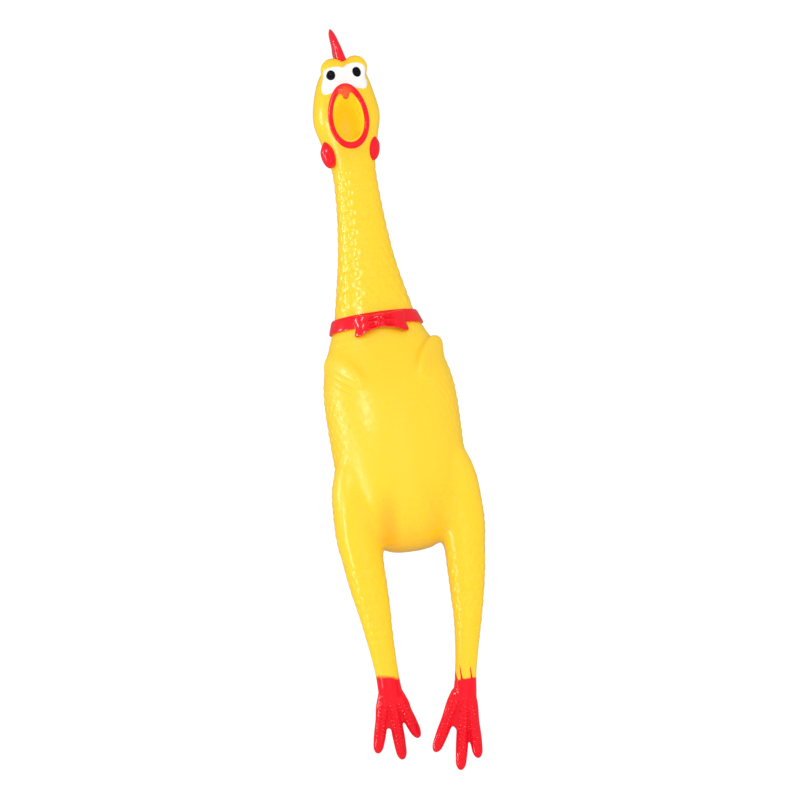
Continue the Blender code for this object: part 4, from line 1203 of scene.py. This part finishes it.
class CHICKEN_OT_neckwear(bpy.types.Operator):
    """Make the glossy collar band and the bow tie in front of it"""

    bl_idname = "chicken.neckwear"
    bl_label = "Collar and Bow Tie"

    def execute(self, context):
        trunk = smooth(TRUNK, 8)
        middle, half = (COLLAR_LOW + COLLAR_HIGH) / 2, (COLLAR_HIGH - COLLAR_LOW) / 2
        sink, rings = 0.3, []
        for t in turns_of(20):
            height = middle + half * math.copysign(abs(math.sin(t)) ** 0.5, math.sin(t))
            rise = 0.5 * (1 + math.copysign(abs(math.cos(t)) ** 0.6, math.cos(t)))
            out = (COLLAR_THICK + 0.5) * rise - sink
            x, y, w, d = (v[0] for v in at_height(trunk, [height]))
            w, d = w + out, d + out
            rings.append([Vector((x + w * math.cos(a), y + d * math.sin(a), height)) for a in turns_of(96)])
        band = to_object(bridge_rings(rings, closed=True), "collar_band")
        finished(band, "collar_band", paint("red paint"), 50)
        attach(band, "torso")
        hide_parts("collar")

        outline = smooth_outline([(x + BOW_X, z + BOW_Z) for x, z in both_sides(BOW_EDGE)], 8)

        def bow_place(x, z, share):
            cx, cy, w, d = (v[0] for v in at_height(trunk, [z]))
            front = cy - (d + COLLAR_THICK) * math.sqrt(max(0.05, 1 - ((x - cx) / (w + COLLAR_THICK)) ** 2))
            across = abs(x - BOW_X)
            up = z - BOW_Z
            loop = BOW_THICK + LOOP_SWELL * math.exp(-(((across - LOOP_AT) / 4.2) ** 2))
            knot = KNOT_SWELL * math.exp(-((across / 2.4) ** 4)) * math.exp(-(((up - 0.4) / 4.0) ** 4))
            pleat = PLEAT_HEIGHT * math.cos((up - 0.3) * 1.7 + 0.16 * across)
            pleat *= math.exp(-(((across - 5.0) / 2.8) ** 2))
            crease = CREASE_DEPTH * math.exp(-((across / 0.45) ** 2)) * math.exp(-((up / 3.0) ** 2))
            edge = max(0.0, (share - 0.8) / 0.2) ** 2.5
            return Vector((x, front - (loop + knot + pleat - crease) * (1 - 0.85 * edge), z))

        bow = to_object(relief_patch(outline, bow_place, 30, 1.0, (BOW_X, BOW_Z)), "bow_tie_front")
        relax(bow.data, 2)
        finished(bow, "bow_tie_front", paint("red paint"), 60)
        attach(bow, "torso")
        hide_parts("bow_tie")
        return {"FINISHED"}


class CHICKEN_OT_squeaker(bpy.types.Operator):
    """Give the squeaker's pipe, board, clamp and reed their finishes"""

    bl_idname = "chicken.squeaker"
    bl_label = "Squeaker"

    def execute(self, context):
        for name in ("squeaker_housing", "tone_board", "reed_clamp", "reed"):
            part = frame["nodes"][name]
            part.data.materials.clear()
            part.data.materials.append(paint("reed film" if name == "reed" else "squeaker plastic"))
        return {"FINISHED"}


class CHICKEN_OT_stage(bpy.types.Operator):
    """Set the pale floor, the soft studio lights and the camera"""

    bl_idname = "chicken.stage"
    bl_label = "Studio"

    def execute(self, context):
        scene = context.scene
        bm = bmesh.new()
        bmesh.ops.create_grid(bm, x_segments=1, y_segments=1, size=FLOOR_HALF_WIDTH)
        bmesh.ops.translate(bm, vec=(0, 0, FLOOR_Z), verts=bm.verts)
        floor = to_object(bm, "studio_floor")
        made, _, shader = principled("pale floor")
        put_inputs(made.node_tree, shader, {"Base Color": (0.92, 0.92, 0.92, 1), "Roughness": 0.9})
        floor.data.materials.append(made)
        floor.visible_glossy = False

        world = bpy.data.worlds.new("studio air")
        scene.world = world
        world.use_nodes = True
        tree = world.node_tree
        ray = node(tree, "ShaderNodeLightPath", {}).outputs
        unseen = mix_value(tree, ray["Is Glossy Ray"], AIR_LIGHT, AIR_IN_GLOSS)
        strength = mix_value(tree, ray["Is Camera Ray"], unseen, AIR_SEEN)
        put_inputs(tree, tree.nodes["Background"], {"Color": (1, 1, 1, 1), "Strength": strength})

        for name, bearing, reach, low, high, width, power, shows in LIGHTS:
            lamp = bpy.data.lights.new(name, "AREA")
            lamp.shape = "RECTANGLE"
            lamp.size, lamp.size_y = width, high - low
            lamp.energy = power
            holder = bpy.data.objects.new(name, lamp)
            scene.collection.objects.link(holder)
            turn = math.radians(bearing)
            holder.location = (reach * math.sin(turn), -reach * math.cos(turn), (low + high) / 2)
            holder.rotation_euler = (-holder.location).to_track_quat("-Z", "Y").to_euler()
            holder.visible_camera = False
            holder.visible_glossy = shows

        azimuth, elevation, roll = (
            math.radians(v) for v in (CAMERA_AZIMUTH, CAMERA_ELEVATION, CAMERA_ROLL))
        flat = math.cos(elevation)
        back = Vector((math.sin(azimuth) * flat, -math.cos(azimuth) * flat, math.sin(elevation)))
        distance = looks().camera_distance
        data = bpy.data.cameras.new("camera")
        data.sensor_width = SENSOR_WIDTH
        data.lens = SENSOR_WIDTH * distance / SEEN_WIDTH
        camera = bpy.data.objects.new("camera", data)
        scene.collection.objects.link(camera)
        camera.rotation_mode = "QUATERNION"
        camera.rotation_quaternion = (-back).to_track_quat("-Z", "Y") @ Euler((0, 0, -roll)).to_quaternion()
        aim = camera.rotation_quaternion @ CAMERA_SHIFT
        camera.location = back * distance + aim
        scene.camera = camera
        scene.view_settings.view_transform = "Standard"
        scene.view_settings.look = "None"
        return {"FINISHED"}


class CHICKEN_PT_panel(bpy.types.Panel):
    """The toy's pieces, in the 3D view's sidebar"""

    bl_idname = "CHICKEN_PT_panel"
    bl_label = "Rubber Chicken"
    bl_space_type = "VIEW_3D"
    bl_region_type = "UI"
    bl_category = "Rubber Chicken"

    def draw(self, context):
        for operator in OPERATORS:
            self.layout.operator(operator.bl_idname)
        for name in LookSettings.__annotations__:
            self.layout.prop(context.scene.rubber_chicken, name)


OPERATORS = (
    CHICKEN_OT_skin, CHICKEN_OT_beak, CHICKEN_OT_eyes, CHICKEN_OT_wattles, CHICKEN_OT_comb,
    CHICKEN_OT_neckwear, CHICKEN_OT_squeaker, CHICKEN_OT_stage,
)
CLASSES = (LookSettings, *OPERATORS, CHICKEN_PT_panel)


def register():
    for cls in CLASSES:
        bpy.utils.register_class(cls)
    bpy.types.Scene.rubber_chicken = bpy.props.PointerProperty(type=LookSettings)


def unregister():
    del bpy.types.Scene.rubber_chicken
    for cls in reversed(CLASSES):
        bpy.utils.unregister_class(cls)


def main():
    register()
    bpy.ops.chicken.skin()
    bpy.ops.chicken.beak()
    bpy.ops.chicken.eyes()
    bpy.ops.chicken.wattles()
    bpy.ops.chicken.comb()
    bpy.ops.chicken.neckwear()
    bpy.ops.chicken.squeaker()
    bpy.ops.chicken.stage()


if __name__ == "__main__":
    main()
